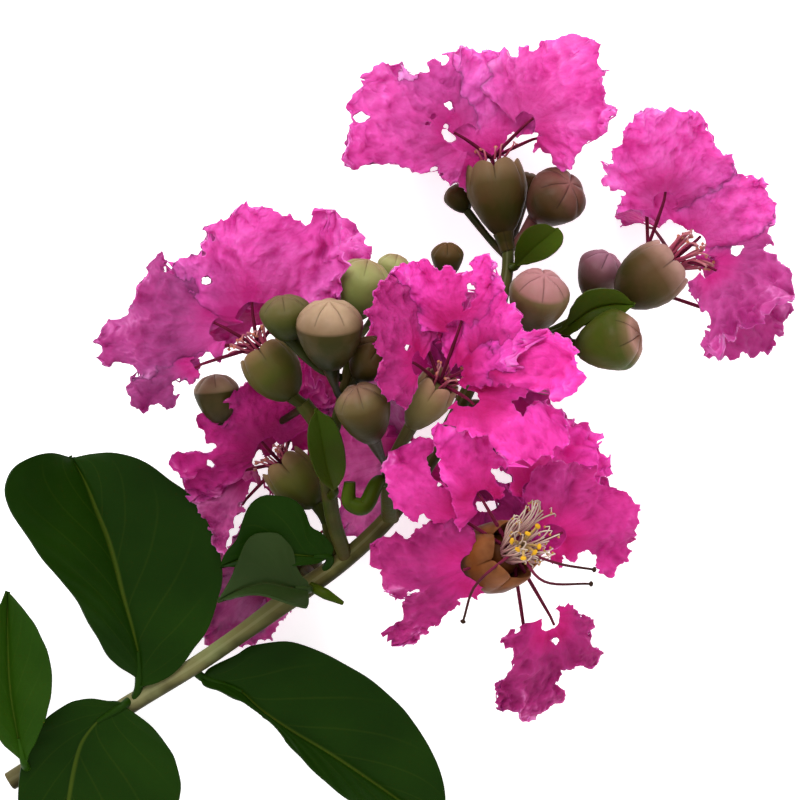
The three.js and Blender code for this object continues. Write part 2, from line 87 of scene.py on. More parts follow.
MM = 0.001
PICTURE_SIDE = 800
PICTURE_MIDDLE = 400
PICTURE_SCALE = 0.14
BODY = "root"
CUT_MOUNT = "cut_end"
CUT_END: Vec = (-55.4, -54.2, 1.4)
# The way that the painted light on every tube comes from: the side facing it is painted lighter and the far side
# darker.
PAINTED_LIGHT_WAY = Vector((-0.55, 0.75, 0.36))
ZENITH = Vector((0, 0, 1))
SEPALS = 6
CREASE = math.radians(55)
WELD = 0.01
POLE_WELD = 1e-4
MEASURES = ("along", "across", "shade", "tone", "turn")


class Slot(Enum):
    """The material slots of the record."""

    BARK = "bark"
    BUD = "bud"
    CALYX = "calyx"
    STAMEN = "stamen"
    LEAF = "leaf"
    BRACT = "bract"
    PETAL = "petal"


class Lie(Enum):
    """How openly a bloom lies to the camera, which sets how many columns and rows its petals have."""

    OPEN = (132, 44)
    UNDER = (92, 34)


class Spot(NamedTuple):
    """A place of a turned form, with the measures that the finishes read there."""

    point: Vector
    along: float
    across: float
    shade: float


def card(red: int, green: int, blue: int) -> Colour:
    """Turns the three numbers of a colour card into light.

    Args:
        red: Red, from 0 to 255 as a screen shows it.
        green: Green, likewise.
        blue: Blue, likewise.

    Returns:
        The linear colour with full cover.
    """
    shares = (channel / 255 for channel in (red, green, blue))
    light = [share / 12.92 if share <= 0.04045 else ((share + 0.055) / 1.055) ** 2.4 for share in shares]
    return (*light, 1.0)


def smooth(low: float, high: float, value: float) -> float:
    """Rises smoothly from 0 at low to 1 at high."""
    share = min(1.0, max(0.0, (value - low) / (high - low)))
    return share * share * (3 - 2 * share)


def read(values: Sequence[float], place: float) -> float:
    """Reads a list at a place between two of its entries."""
    low = min(int(place), len(values) - 2)
    return values[low] + (values[low + 1] - values[low]) * (place - low)


def windows(values: Sequence[float], width: int) -> list[Sequence[float]]:
    """Every run of so many neighbours in a list."""
    return [values[index : index + width] for index in range(len(values) - width + 1)]


def spoke(turn: float, radius: float, height: float) -> Vector:
    """The point at a turn about the Z axis, a radius out from it and a height up it."""
    return Vector((math.cos(turn) * radius, math.sin(turn) * radius, height))


def on_picture(pixel: Pixel) -> Vector:
    """The point of the picture's frame that a pixel shows, at no height."""
    return Vector(((pixel[0] - PICTURE_MIDDLE) * PICTURE_SCALE, (PICTURE_MIDDLE - pixel[1]) * PICTURE_SCALE, 0))


class Site:
    """Where the picture's frame stands in the part's frame."""

    def __init__(self, record: dict) -> None:
        """Reads the shift from the mount at the shoot's cut end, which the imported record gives.

        Args:
            record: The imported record.
        """
        mount = next(row for row in record["mounts"] if row["name"] == CUT_MOUNT)
        self.shift = Vector(mount["pos_m"]) - Vector(CUT_END) * MM

    def move(self, point: Vector) -> Vector:
        """Carries a point of the picture's frame, in millimetres, into the part's frame, in metres."""
        return point * MM + self.shift


class Path:
    """A smooth line through points, read by the share of its length."""

    NEAR = 0.01

    def __init__(self, points: Sequence[Sequence[float]]) -> None:
        """Keeps the points, in order, and how far along the line each of them lies.

        Args:
            points: The points that the line goes through, in order.
        """
        self.points = [Vector(point) for point in points]
        walked = [0.0]
        for first, second in zip(self.points, self.points[1:]):
            walked.append(walked[-1] + (second - first).length)
        self.marks = [way / walked[-1] for way in walked]

    def slope(self, index: int) -> Vector:
        """The line's direction and speed at one of its points."""
        before, after = max(0, index - 1), min(len(self.points) - 1, index + 1)
        return (self.points[after] - self.points[before]) / (self.marks[after] - self.marks[before])

    def at(self, share: float) -> Vector:
        """The point at a share of the line's length.

        Args:
            share: The share, from 0 to 1.

        Returns:
            The point, on a cubic bow between its two neighbours.
        """
        step = min(max(bisect_right(self.marks, share) - 1, 0), len(self.points) - 2)
        span = self.marks[step + 1] - self.marks[step]
        t = (share - self.marks[step]) / span
        start, end = self.points[step], self.points[step + 1]
        bend = (t**3 - 2 * t**2 + t) * self.slope(step) + (t**3 - t**2) * self.slope(step + 1)
        return start * (2 * t**3 - 3 * t**2 + 1) + end * (3 * t**2 - 2 * t**3) + bend * span

    def ahead(self, share: float) -> Vector:
        """The unit direction of the line at a share of its length."""
        return (self.at(min(1.0, share + self.NEAR)) - self.at(max(0.0, share - self.NEAR))).normalized()


class Outline:
    """A closed line on the picture that petals fill and that cuts off what stands over it."""

    STEP = 0.25
    FRAYS = ((0.9, 1.0), (1.8, 1.0), (3.1, 0.8))
    FRAY_LAYER = 3
    LEVEL = Vector((1, 0.0137))
    TINY = 1e-9

    def __init__(self, pixels: Pixels, fringe: float = 0.6) -> None:
        """Keeps the line in the picture's frame, with a fine fringe between its corners.

        Args:
            pixels: The pixels that the line goes through, in order.
            fringe: How far the fringe strays from the line.
        """
        rough = [on_picture(pixel).to_2d() for pixel in pixels]
        corners = []
        for first, second in zip(rough, rough[1:] + rough[:1]):
            count = max(1, round((second - first).length / self.STEP))
            corners += [first.lerp(second, index / count) for index in range(count)]
        frayed = []
        for corner in corners:
            deep = Vector((corner.x, corner.y, self.FRAY_LAYER))
            stray = sum((size * noise.noise_vector(deep * fine) for fine, size in self.FRAYS), Vector())
            frayed.append(corner + fringe * stray.to_2d())
        self.start = numpy.array(frayed)
        self.edge = numpy.roll(self.start, -1, axis=0) - self.start
        self.low, self.high = self.start.min(axis=0).tolist(), self.start.max(axis=0).tolist()

    def hits(self, root: Vector, way: Vector) -> list[float]:
        """How far along a ray it crosses the line.

        Args:
            root: Where the ray starts.
            way: Its direction, whose length is the unit of the answer.

        Returns:
            The distances, from near to far.
        """
        turn = way.x * self.edge[:, 1] - way.y * self.edge[:, 0]
        turn = numpy.where(abs(turn) < self.TINY, self.TINY, turn)
        to = self.start - numpy.array(root.to_2d())
        step = (to[:, 0] * self.edge[:, 1] - to[:, 1] * self.edge[:, 0]) / turn
        share = (to[:, 0] * way.y - to[:, 1] * way.x) / turn
        return sorted(step[(step > 0) & (share >= 0) & (share < 1)].tolist())

    def holds(self, point: Vector) -> bool:
        """Whether a point lies inside the line: a ray from it then crosses the line an odd number of times."""
        if any(not low < place < high for low, place, high in zip(self.low, point, self.high)):
            return False
        return len(self.hits(point, self.LEVEL)) % 2 == 1

    def nearest(self, point: Vector) -> Vector:
        """The point of the line nearest to another one on the picture."""
        to = numpy.array(point.to_2d()) - self.start
        size = numpy.maximum((self.edge**2).sum(axis=1), self.TINY)
        share = numpy.clip((to * self.edge).sum(axis=1) / size, 0, 1)
        there = self.start + self.edge * share[:, None]
        return Vector(there[((there - numpy.array(point.to_2d())) ** 2).sum(axis=1).argmin()])


@dataclass(frozen=True)
class Lens:
    """How the camera, straight above the picture's middle, draws heights together.

    Attributes:
        height: How far it stands above the plane where the picture's scale holds.
        plane: That plane's height.
    """

    height: float = 1500.0
    plane: float = 25.0

    def scale(self, point: Vector) -> float:
        """How much larger a place looks than on the plane."""
        return self.height / (self.height + self.plane - point.z)

    def seen(self, point: Vector) -> Vector:
        """Where on the picture a point shows."""
        return point.to_2d() * self.scale(point)

    def under(self, picture: Vector, point: Vector) -> Vector:
        """A point moved at its own height to where it shows at a place of the picture."""
        flat = picture / self.scale(point)
        return Vector((flat.x, flat.y, point.z))


LENS = Lens()


@dataclass(frozen=True)
class Stand:
    """A place and a way up for a form that is turned about its own axis.

    Attributes:
        at: Where its origin goes, in the picture's frame.
        axis: Where its own Z goes.
        turn: How far it is turned about that axis, in degrees.
    """

    at: Vector
    axis: Vector
    turn: float = 0.0

    def matrix(self) -> Matrix:
        """The transform from the form's own frame to the picture's."""
        turned = self.axis.to_track_quat("Z", "Y").to_matrix().to_4x4()
        return Matrix.Translation(self.at) @ turned @ Matrix.Rotation(math.radians(self.turn), 4, "Z")


class Piece:
    """One mesh of the shoot in the making, with the measures of its surface that the finishes read."""

    RIDGES = 4
    # A tube's shade measure: a middle value, painted light and shade by the side that faces the painted light's way,
    # and a random mottle.
    SHADE = 0.5
    PAINTED_LIGHT = 0.5
    MOTTLE = 0.3
    MOTTLE_SCALE = 0.5

    def __init__(self, name: str, site: Site) -> None:
        """Starts an empty mesh that has a name and, in the end, a place at the site."""
        self.name = name
        self.site = site
        self.mesh = bmesh.new()
        layers = self.mesh.verts.layers
        layers.float_vector.new("out")
        for measure in MEASURES:
            layers.float.new(measure)
        self.out = layers.float_vector["out"]
        self.along, self.across, self.shade, self.tone, self.turn = (layers.float[measure] for measure in MEASURES)

    def close(self, verts: Sequence[BMVert], thickness: float = 0.0) -> None:
        """Turns the faces of a form outwards and gives an open sheet its thickness.

        Args:
            verts: The vertices of the form just made.
            thickness: The sheet's thickness, or 0 for a closed form.
        """
        faces = list({face: None for vert in verts for face in vert.link_faces})
        bmesh.ops.recalc_face_normals(self.mesh, faces=faces)
        if not thickness:
            return
        self.mesh.normal_update()
        for vert in verts:
            vert[self.out] = vert.normal
        grown = bmesh.ops.extrude_face_region(self.mesh, geom=faces, use_keep_orig=True)["geom"]
        for vert in grown:
            if isinstance(vert, BMVert):
                vert.co += vert[self.out] * thickness
        bmesh.ops.reverse_faces(self.mesh, faces=faces)

    def sheet(
        self,
        grid: tuple[int, int],
        thickness: float,
        rule: Rule,
        outline: Outline | None = None,
        holes: Sequence[Outline] = (),
        tone: float = 0.0,
    ) -> None:
        """Adds a thin sheet, such as a petal or a leaf.

        Args:
            grid: Its steps from the left edge to the right and from the root to the margin.
            thickness: How thick it is.
            rule: Gives the point and the shade for a place across, from -1 to 1, and along, from 0 to 1.
            outline: The line on the picture that it ends at.
            holes: Where the picture shows through it.
            tone: How far it takes its finish's painted shading colour, from 0 to 1.
        """
        columns, rows = grid
        made = bmesh.ops.create_grid(self.mesh, x_segments=columns, y_segments=rows, size=1)["verts"]
        for vert in made:
            across, along = vert.co.x, (vert.co.y + 1) / 2
            vert.co, vert[self.shade] = rule(across, along)
            vert[self.across], vert[self.along], vert[self.tone] = across, along, tone
        root = made[columns // 2]
        if outline:
            made = self.trim(made, outline, False)
        for hole in holes:
            made = self.trim(made, hole, True)
        if outline:
            joined = set(self.island(root if root.is_valid else made[0]))
            bmesh.ops.delete(self.mesh, geom=[vert for vert in made if vert not in joined], context="VERTS")
            made = [vert for vert in made if vert.is_valid]
        bmesh.ops.remove_doubles(self.mesh, verts=made, dist=WELD)
        self.close([vert for vert in made if vert.is_valid], thickness)

    def trim(self, verts: Sequence[BMVert], line: Outline, inner: bool) -> list[BMVert]:
        """Cuts away the part of a sheet on one side of a line and draws its edge to the line.

        Args:
            verts: The sheet's vertices.
            line: The line on the picture.
            inner: Whether the part inside the line goes, or else the part outside it.

        Returns:
            The vertices that are left.
        """
        beyond = {vert for vert in verts if line.holds(LENS.seen(vert.co)) == inner}
        if not beyond:
            return list(verts)
        touched = {face: None for vert in verts if vert in beyond for face in vert.link_faces}
        lost = [face for face in touched if beyond.issuperset(face.verts)]
        bmesh.ops.delete(self.mesh, geom=lost, context="FACES")
        left = [vert for vert in verts if vert.is_valid]
        for vert in left:
            if vert in beyond:
                vert.co = LENS.under(line.nearest(LENS.seen(vert.co)), vert.co)
        return left

    def tube(
        self,
        path: Path,
        radii: Sequence[float],
        sides: int,
        steps: int,
        span: tuple[float, float] = (0.0, 1.0),
        ridge: float = 0.0,
    ) -> None:
        """Adds a round limb, stalk or thread that follows a path.

        Args:
            path: The line it follows.
            radii: Its radii at even steps along the line.
            sides: Faces round it.
            steps: Rings along it.
            span: What the along measure is at its start and end.
            ridge: How far its ridges stand out, as a share of the radius.
        """
        ring = bmesh.ops.create_circle(self.mesh, cap_ends=False, segments=sides, radius=1)["verts"]
        for vert in ring:
            vert[self.turn] = math.atan2(vert.co.y, vert.co.x)
        everything = list(ring)
        sideways = path.ahead(0).orthogonal().normalized()
        ends = [self.ring_edges(ring)]
        for step in range(steps + 1):
            if step:
                grown = bmesh.ops.extrude_edge_only(self.mesh, edges=self.ring_edges(ring))["geom"]
                ring = [part for part in grown if isinstance(part, BMVert)]
                everything += ring
            share = step / steps
            ahead = path.ahead(share)
            sideways = (sideways - ahead * sideways.dot(ahead)).normalized()
            third = ahead.cross(sideways)
            radius = read(radii, share * (len(radii) - 1))
            for vert in ring:
                turn = vert[self.turn]
                crest = math.cos(self.RIDGES * turn)
                outward = math.cos(turn) * sideways + math.sin(turn) * third
                vert.co = path.at(share) + radius * (1 + ridge * crest) * outward
                vert[self.along] = read(span, share)
                vert[self.across] = 0.5 + 0.5 * crest
                # Painted light and shade: the side that faces the painted light's way is lighter and the far side
                # darker; a random mottle is added.
                mottle = noise.noise(vert.co * self.MOTTLE_SCALE)
                vert[self.shade] = self.SHADE + self.MOTTLE * mottle + self.PAINTED_LIGHT * outward.dot(PAINTED_LIGHT_WAY)
        ends.append(self.ring_edges(ring))
        for end in ends:
            bmesh.ops.contextual_create(self.mesh, geom=end)
        self.close(everything)

    @staticmethod
    def ring_edges(ring: Sequence[BMVert]) -> list[BMEdge]:
        """The edges that join the vertices of one ring."""
        inside = set(ring)
        return list({edge: None for vert in ring for edge in vert.link_edges if edge.other_vert(vert) in inside})

    def turned(
        self,
        profile: Sequence[tuple[float, float]],
        sides: int,
        stand: Stand,
        shape: Callable[[float, float, float], Spot],
    ) -> None:
        """Adds a form spun from a profile about its own axis, such as a bud or a calyx.

        Args:
            profile: Radius and height of each point, from the foot round to the end.
            sides: Faces round it.
            stand: Where it goes.
            shape: Gives the place for a radius, height and turn.
        """
        line = [self.mesh.verts.new((radius, 0, height)) for radius, height in profile]
        edges = [self.mesh.edges.new(pair) for pair in zip(line, line[1:])]
        about = {"cent": (0, 0, 0), "axis": (0, 0, 1), "dvec": (0, 0, 0), "angle": 2 * math.pi}
        bmesh.ops.spin(self.mesh, geom=line + edges, steps=sides, use_merge=True, use_duplicate=False, **about)
        made = self.island(line[1])
        for vert in made:
            radius, turn = math.hypot(vert.co.x, vert.co.y), math.atan2(vert.co.y, vert.co.x)
            vert.co, vert[self.along], vert[self.across], vert[self.shade] = shape(radius, vert.co.z, turn)
        bmesh.ops.remove_doubles(self.mesh, verts=made, dist=POLE_WELD)
        made = [vert for vert in made if vert.is_valid]
        bmesh.ops.transform(self.mesh, matrix=stand.matrix(), verts=made)
        self.close(made)

    @staticmethod
    def island(start: BMVert) -> list[BMVert]:
        """Every vertex joined to one, in the order that they are met."""
        found = {start: None}
        waiting = [start]
        while waiting:
            for edge in waiting.pop().link_edges:
                for vert in edge.verts:
                    if vert not in found:
                        found[vert] = None
                        waiting.append(vert)
        return list(found)

    def show(self, finish: "Finish", slot: Slot, *nodes: str) -> Object:
        """Moves the piece to its place, dresses it and hands it to the frame.

        Args:
            finish: What it is made of.
            slot: The record's slot for that; not used.
            nodes: The solids that it stands for.

        Returns:
            The finished object.
        """
        for vert in self.mesh.verts:
            vert.co = self.site.move(vert.co)
        for face in self.mesh.faces:
            face.smooth = True
        for edge in self.mesh.edges:
            edge.smooth = edge.calc_face_angle(0.0) < CREASE
        layers = self.mesh.verts.layers
        layers.float.remove(layers.float["turn"])
        layers.float_vector.remove(layers.float_vector["out"])
        data = bpy.data.meshes.new(self.name)
        self.mesh.to_mesh(data)
        self.mesh.free()
        piece = bpy.data.objects.new(self.name, data)
        bpy.context.scene.collection.objects.link(piece)
        data.materials.append(finish.material())
        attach(piece, BODY)
        if nodes:
            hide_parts(*nodes)
        log.info("%s: %d faces", self.name, len(data.polygons))
        return piece


class Nodes:
    """The nodes of a material or of a shared effect in the making."""

    MIX_FIRST, MIX_SECOND, MIX_OUT = 6, 7, 2

    def __init__(self, tree: NodeTree) -> None:
        """Keeps the tree that the nodes go into."""
        self.tree = tree

    def fill(self, node: Node, inputs: Inputs) -> None:
        """Gives a node's inputs their values, or links them where a socket is given.

        Args:
            node: The node.
            inputs: Values or sockets by the inputs' names or numbers.
        """
        for name, value in inputs.items():
            if isinstance(value, NodeSocket):
                self.tree.links.new(value, node.inputs[name])
            else:
                node.inputs[name].default_value = value

    def add(self, kind: str, inputs: Inputs | None = None, **settings: object) -> Node:
        """Adds a node.

        Args:
            kind: Its type.
            inputs: Values or sockets for its inputs.
            settings: Its other settings.

        Returns:
            The node.
        """
        node = self.tree.nodes.new(kind)
        for name, value in settings.items():
            setattr(node, name, value)
        self.fill(node, inputs or {})
        return node

    def measure(self, name: str) -> NodeSocket:
        """A measure that the surface carries."""
        return self.add("ShaderNodeAttribute", attribute_name=name).outputs["Fac"]

    def sum(self, kind: str, first: Input, second: Input = 0.0) -> NodeSocket:
        """One step of arithmetic on two values."""
        return self.add("ShaderNodeMath", {0: first, 1: second}, operation=kind).outputs[0]

    def step(self, value: Input, span: Span, kind: str = "SMOOTHSTEP") -> NodeSocket:
        """Rises from 0 at the span's start to 1 at its end."""
        inputs = {"Value": value, "From Min": span[0], "From Max": span[1]}
        return self.add("ShaderNodeMapRange", inputs, interpolation_type=kind).outputs["Result"]

    def cloud(self, **inputs: Input) -> NodeSocket:
        """A soft noise."""
        return self.add("ShaderNodeTexNoise", inputs).outputs["Fac"]

    def ramp(self, value: Input, stops: Sequence[tuple[float, Colour]]) -> NodeSocket:
        """A run of colours along a value.

        Args:
            value: The value, from 0 to 1.
            stops: The places of the colours, each with its colour.

        Returns:
            The colour.
        """
        node = self.add("ShaderNodeValToRGB", {"Fac": value})
        points = node.color_ramp.elements
        while len(points) < len(stops):
            points.new(0.5)
        for point, (place, colour) in zip(points, stops):
            point.position = place
            point.color = colour
        return node.outputs["Color"]

    def mix(self, share: Input, first: Input, second: Input, kind: str = "MIX") -> NodeSocket:
        """A share of the second colour over the first."""
        inputs = {"Factor": share, self.MIX_FIRST: first, self.MIX_SECOND: second}
        return self.add("ShaderNodeMix", inputs, data_type="RGBA", blend_type=kind).outputs[self.MIX_OUT]

    def stripes(self, value: Input, span: Span) -> NodeSocket:
        """Thin lines at the whole numbers of a value, as wide as the span of half a stripe says."""
        between = self.sum("ABSOLUTE", self.sum("SUBTRACT", self.sum("FRACT", value), 0.5))
        return self.step(between, span)


class Shader(Nodes):
    """The nodes of one material in the making."""

    def __init__(self, name: str) -> None:
        """Starts a material of that name from a plain surface."""
        self.made = bpy.data.materials.new(name)
        self.made.use_nodes = True
        super().__init__(self.made.node_tree)
        self.surface = self.tree.nodes["Principled BSDF"]


class Skin:
    """The effect that all finishes share: soft patches of a second colour and a fine relief."""

    NAME = "plant_skin"
    GIVEN = {"Base": "Color", "Patch": "Color", "Share": "Float", "Patches": "Float", "Grain": "Float"}
    MADE = {"Colour": "Color", "Relief": "Float"}
    DETAIL = 3
    PATCH_EDGE = (0.38, 0.66)

    @classmethod
    def tree(cls) -> NodeTree:
        """The node group, which is built when it is asked for the first time."""
        return bpy.data.node_groups.get(cls.NAME) or cls.build()

    @classmethod
    def build(cls) -> NodeTree:
        """Builds the node group.

        Returns:
            The group, with GIVEN for its inputs and MADE for its outputs.
        """
        tree = bpy.data.node_groups.new(cls.NAME, "ShaderNodeTree")
        for way, sockets in (("INPUT", cls.GIVEN), ("OUTPUT", cls.MADE)):
            for name, kind in sockets.items():
                tree.interface.new_socket(name=name, in_out=way, socket_type=f"NodeSocket{kind}")
        nodes = Nodes(tree)
        given = nodes.add("NodeGroupInput").outputs
        place = nodes.add("ShaderNodeTexCoord").outputs["Object"]
        patches, grain = (
            nodes.cloud(Vector=place, Scale=given[scale], Detail=cls.DETAIL) for scale in ("Patches", "Grain")
        )
        share = nodes.sum("MULTIPLY", nodes.step(patches, cls.PATCH_EDGE, "LINEAR"), given["Share"])
        colour = nodes.mix(share, given["Base"], given["Patch"])
        nodes.add("NodeGroupOutput", {"Colour": colour, "Relief": grain})
        return tree


@dataclass(frozen=True)
class Finish:
    """What a kind of piece is made of.

    Attributes:
        name: The material's name.
        along: The colours from the foot to the tip, each after its place.
        patch: The colour of the soft patches.
        line: The colour of seams, ridges or veins.
        patch_share: How strong the patches are.
        patch_scale: How many of them there are in a metre.
        line_share: How strong the lines are.
        painted_shade_and_mottle: What the colour is multiplied by where the shade measure is low: painted shade, and on
            leaves a random mottle.
        roughness: How matt it is.
        grain: How high the fine relief stands, in millimetres.
        grain_scale: How many grains there are in a metre.
        shine: How strongly it mirrors, where 0.5 is glass.
        glow: How far light goes in, from 0 to 1.
    """

    name: str
    along: Stops
    patch: Card
    line: Card
    patch_share: float = 0.4
    patch_scale: float = 240.0
    line_share: float = 0.5
    painted_shade_and_mottle: Vec = (0.6, 0.6, 0.6)
    roughness: float = 0.4
    grain: float = 0.05
    grain_scale: float = 1600.0
    shine: float = 0.05
    glow: float = 0.1

    SEAM = (0.0, 0.16)
    SHADED = (0.15, 0.85)
    GLOW_COLOURS = (1.0, 0.4, 0.7)
    GLOW_DEPTH = 1.2

    def line_mask(self, shader: Shader) -> NodeSocket:
        """Where the seams run: at the places where the across measure is near nought."""
        return shader.sum("SUBTRACT", 1.0, shader.step(shader.measure("across"), self.SEAM))

    def toned(self, shader: Shader, colour: NodeSocket) -> NodeSocket:
        """The colour as it is: only petals add painted shading and highlight."""
        return colour

    def material(self) -> Material:
        """Builds the material, or finds it if it is built.

        Returns:
            The material.
        """
        known = bpy.data.materials.get(self.name)
        if known:
            return known
        shader = Shader(self.name)
        inputs = {
            "Base": shader.ramp(shader.measure("along"), [(place, card(*colour)) for place, *colour in self.along]),
            "Patch": card(*self.patch),
            "Share": self.patch_share,
            "Patches": self.patch_scale,
            "Grain": self.grain_scale,
        }
        skin = shader.add("ShaderNodeGroup", inputs, node_tree=Skin.tree()).outputs
        lines = shader.sum("MULTIPLY", self.line_mask(shader), self.line_share)
        lined = shader.mix(lines, self.toned(shader, skin["Colour"]), card(*self.line))
        # Painted shade: the colour is darkened where the shade measure is low.
        dimmed = shader.mix(1.0, lined, (*self.painted_shade_and_mottle, 1), "MULTIPLY")
        bump = shader.add("ShaderNodeBump", {"Height": skin["Relief"], "Distance": self.grain * MM})
        inputs = {
            "Base Color": shader.mix(shader.step(shader.measure("shade"), self.SHADED), dimmed, lined),
            "Normal": bump.outputs["Normal"],
            "Roughness": self.roughness,
            "Specular IOR Level": self.shine,
            "Subsurface Weight": self.glow,
            "Subsurface Radius": self.GLOW_COLOURS,
            "Subsurface Scale": self.GLOW_DEPTH * MM,
        }
        shader.fill(shader.surface, inputs)
        return shader.made


@dataclass(frozen=True)
class ThreadFinish(Finish):
    """A stamen's finish, which has no lines."""

    line: Card = (0, 0, 0)
    patch_share: float = 0.5
    patch_scale: float = 900.0
    line_share: float = 0.0
    roughness: float = 0.5
    glow: float = 0.2


@dataclass(frozen=True)
class VeinedFinish(Finish):
    """A leaf's finish: a midrib and side veins that sweep towards the tip."""

    patch_share: float = 0.5
    patch_scale: float = 70.0
    painted_shade_and_mottle: Vec = (0.75, 0.8, 0.7)
    roughness: float = 0.42
    grain: float = 0.06
    grain_scale: float = 700.0
    glow: float = 0.05

    PAIRS = 8.0
    SWEEP = 2.6
    BOW = 0.8
    MIDRIB = (0.008, 0.04)
    VEIN = (0.44, 0.5)
    VEIN_ENDS = (1.0, 0.5)
    VEIN_SHARE = 0.16

    @classmethod
    def vein(cls, along: float, off: float) -> float:
        """Which side vein a place lies on, as a whole number, or between which two."""
        return cls.PAIRS * along - cls.SWEEP * off**cls.BOW

    def line_mask(self, shader: Shader) -> NodeSocket:
        """Where the midrib and the side veins run, by the same rule as vein."""
        off = shader.sum("ABSOLUTE", shader.measure("across"))
        midrib = shader.sum("SUBTRACT", 1.0, shader.step(off, self.MIDRIB))
        pairs = shader.sum("MULTIPLY", shader.measure("along"), self.PAIRS)
        swept = shader.sum("MULTIPLY", shader.sum("POWER", off, self.BOW), self.SWEEP)
        lines = shader.stripes(shader.sum("SUBTRACT", pairs, swept), self.VEIN)
        side = shader.sum("MULTIPLY", lines, shader.step(off, self.VEIN_ENDS))
        return shader.sum("MAXIMUM", midrib, shader.sum("MULTIPLY", side, self.VEIN_SHARE))


@dataclass(frozen=True, kw_only=True)
class PetalFinish(Finish):
    """A petal's finish: thin and downy, with fine lines that fan out from its root.

    Attributes:
        painted_shading: The colour that stands in for the light on a blade: darker for painted shade, lighter for
            painted light.
        claw: The colour of the claws.
        crest: The colour of the painted highlight on the crests of the ruffles.
    """

    painted_shading: Card
    claw: Card = (84, 10, 38)
    crest: Card = (252, 164, 222)
    patch_share: float = 0.6
    patch_scale: float = 190.0
    line_share: float = 0.12
    painted_shade_and_mottle: Vec = (0.56, 0.24, 0.48)
    roughness: float = 0.7
    grain: float = 0.24
    grain_scale: float = 1500.0
    shine: float = 0.1
    glow: float = 0.6

    LINES = 14.0
    LINE = (0.3, 0.5)
    LINE_ENDS = (1.0, 0.3)
    BLADE_START = (0.04, 0.35)
    PAINTED_HIGHLIGHT_SPAN = (0.66, 1.1)
    PAINTED_HIGHLIGHT_SHARE = 0.5
    CLAW_END = (-0.08, -0.02)

    def line_mask(self, shader: Shader) -> NodeSocket:
        """Where the fine lines run: they keep to places across the petal and fade at its margin."""
        lines = shader.stripes(shader.sum("MULTIPLY", shader.measure("across"), self.LINES), self.LINE)
        return shader.sum("MULTIPLY", lines, shader.step(shader.measure("along"), self.LINE_ENDS))

    def toned(self, shader: Shader, colour: NodeSocket) -> NodeSocket:
        """Draws blades towards the painted shading colour, paints highlight onto the crests of the ruffles and turns
        the claws to their own colour.
        """
        along = shader.measure("along")
        blade = shader.step(along, self.BLADE_START)
        # Painted shade and light: each blade is drawn towards the painted shading colour by its own share.
        painted_blade = shader.mix(shader.sum("MULTIPLY", blade, shader.measure("tone")), colour, card(*self.painted_shading))
        # Painted highlight: the crests of the ruffles, where the shade measure is high, turn pale.
        crest = shader.sum("MULTIPLY", shader.step(shader.measure("shade"), self.PAINTED_HIGHLIGHT_SPAN), self.PAINTED_HIGHLIGHT_SHARE)
        highlighted = shader.mix(shader.sum("MULTIPLY", blade, crest), painted_blade, card(*self.crest))
        return shader.mix(shader.step(along, self.CLAW_END), card(*self.claw), highlighted)


def petal_finish(name: str, throat: Card, blade: Card, rim: Card, patch: Card, painted_shading: Card) -> PetalFinish:
    """A petal's finish from its colours.

    Args:
        name: The material's name.
        throat: The colour where the blade starts, and of the fine lines.
        blade: The colour of the blade.
        rim: The colour at the ruffled margin.
        patch: The colour of the soft patches.
        painted_shading: The blades' painted shading colour.

    Returns:
        The finish.
    """
    stops = ((0.0, *throat), (0.12, *throat), (0.45, *blade), (0.9, *blade), (1.0, *rim))
    return PetalFinish(name, stops, patch, throat, painted_shading=painted_shading)


# Young bark: its pale stripes in the four grooves are partly the ridged bark and partly painted highlight; its strong
# darkening on the side away from the painted light is painted shade.
YOUNG_BARK = Finish(
    "young_bark",
    (
        (0.0, 104, 100, 68), (0.14, 120, 120, 84), (0.36, 104, 108, 66), (0.5, 86, 84, 44), (0.75, 72, 68, 30),
        (1.0, 56, 58, 22),
    ),
    (92, 74, 42), (158, 156, 120), patch_share=0.5, patch_scale=160, line_share=0.35, painted_shade_and_mottle=(0.26, 0.26, 0.2),
    roughness=0.5, grain=0.12, grain_scale=900, glow=0.0,
)
GREEN_TWIG = Finish(
    "green_twig",
    ((0.0, 66, 68, 26), (0.6, 46, 58, 14), (1.0, 44, 58, 12)),
    (86, 54, 34), (92, 88, 50), patch_share=0.5, patch_scale=260, line_share=0.25, grain=0.08, glow=0.0,
)
GREEN_BUD = Finish(
    "green_bud",
    (
        (0.0, 30, 36, 6), (0.35, 68, 78, 22), (0.8, 56, 66, 15), (0.9, 104, 86, 56), (0.95, 150, 112, 100),
        (1.0, 90, 54, 38),
    ),
    (84, 66, 38), (26, 20, 6), patch_share=0.35, line_share=0.6, shine=0.07,
)
MOSS_BUD = Finish(
    "moss_bud",
    ((0.0, 26, 30, 3), (0.45, 38, 40, 6), (0.6, 62, 62, 22), (0.85, 88, 78, 46), (1.0, 114, 94, 70)),
    (62, 66, 24), (40, 34, 14), line_share=0.4, shine=0.06,
)
PALE_BUD = Finish(
    "pale_bud",
    ((0.0, 44, 50, 14), (0.3, 84, 90, 38), (0.6, 130, 134, 78), (0.85, 150, 148, 98), (1.0, 136, 112, 80)),
    (104, 110, 54), (70, 58, 30), patch_share=0.5, patch_scale=200, line_share=0.4, shine=0.07, glow=0.12,
)
OLIVE_BUD = Finish(
    "olive_bud",
    ((0.0, 26, 28, 4), (0.4, 38, 36, 8), (0.7, 58, 48, 20), (1.0, 84, 60, 34)),
    (66, 38, 24), (18, 10, 4), line_share=0.6, glow=0.08,
)
TAN_BUD = Finish(
    "tan_bud",
    (
        (0.0, 22, 24, 3), (0.5, 40, 40, 8), (0.69, 48, 42, 12), (0.73, 112, 90, 66), (0.86, 146, 120, 96),
        (1.0, 158, 132, 106),
    ),
    (84, 62, 40), (44, 30, 18), patch_share=0.35, line_share=0.45, shine=0.07,
)
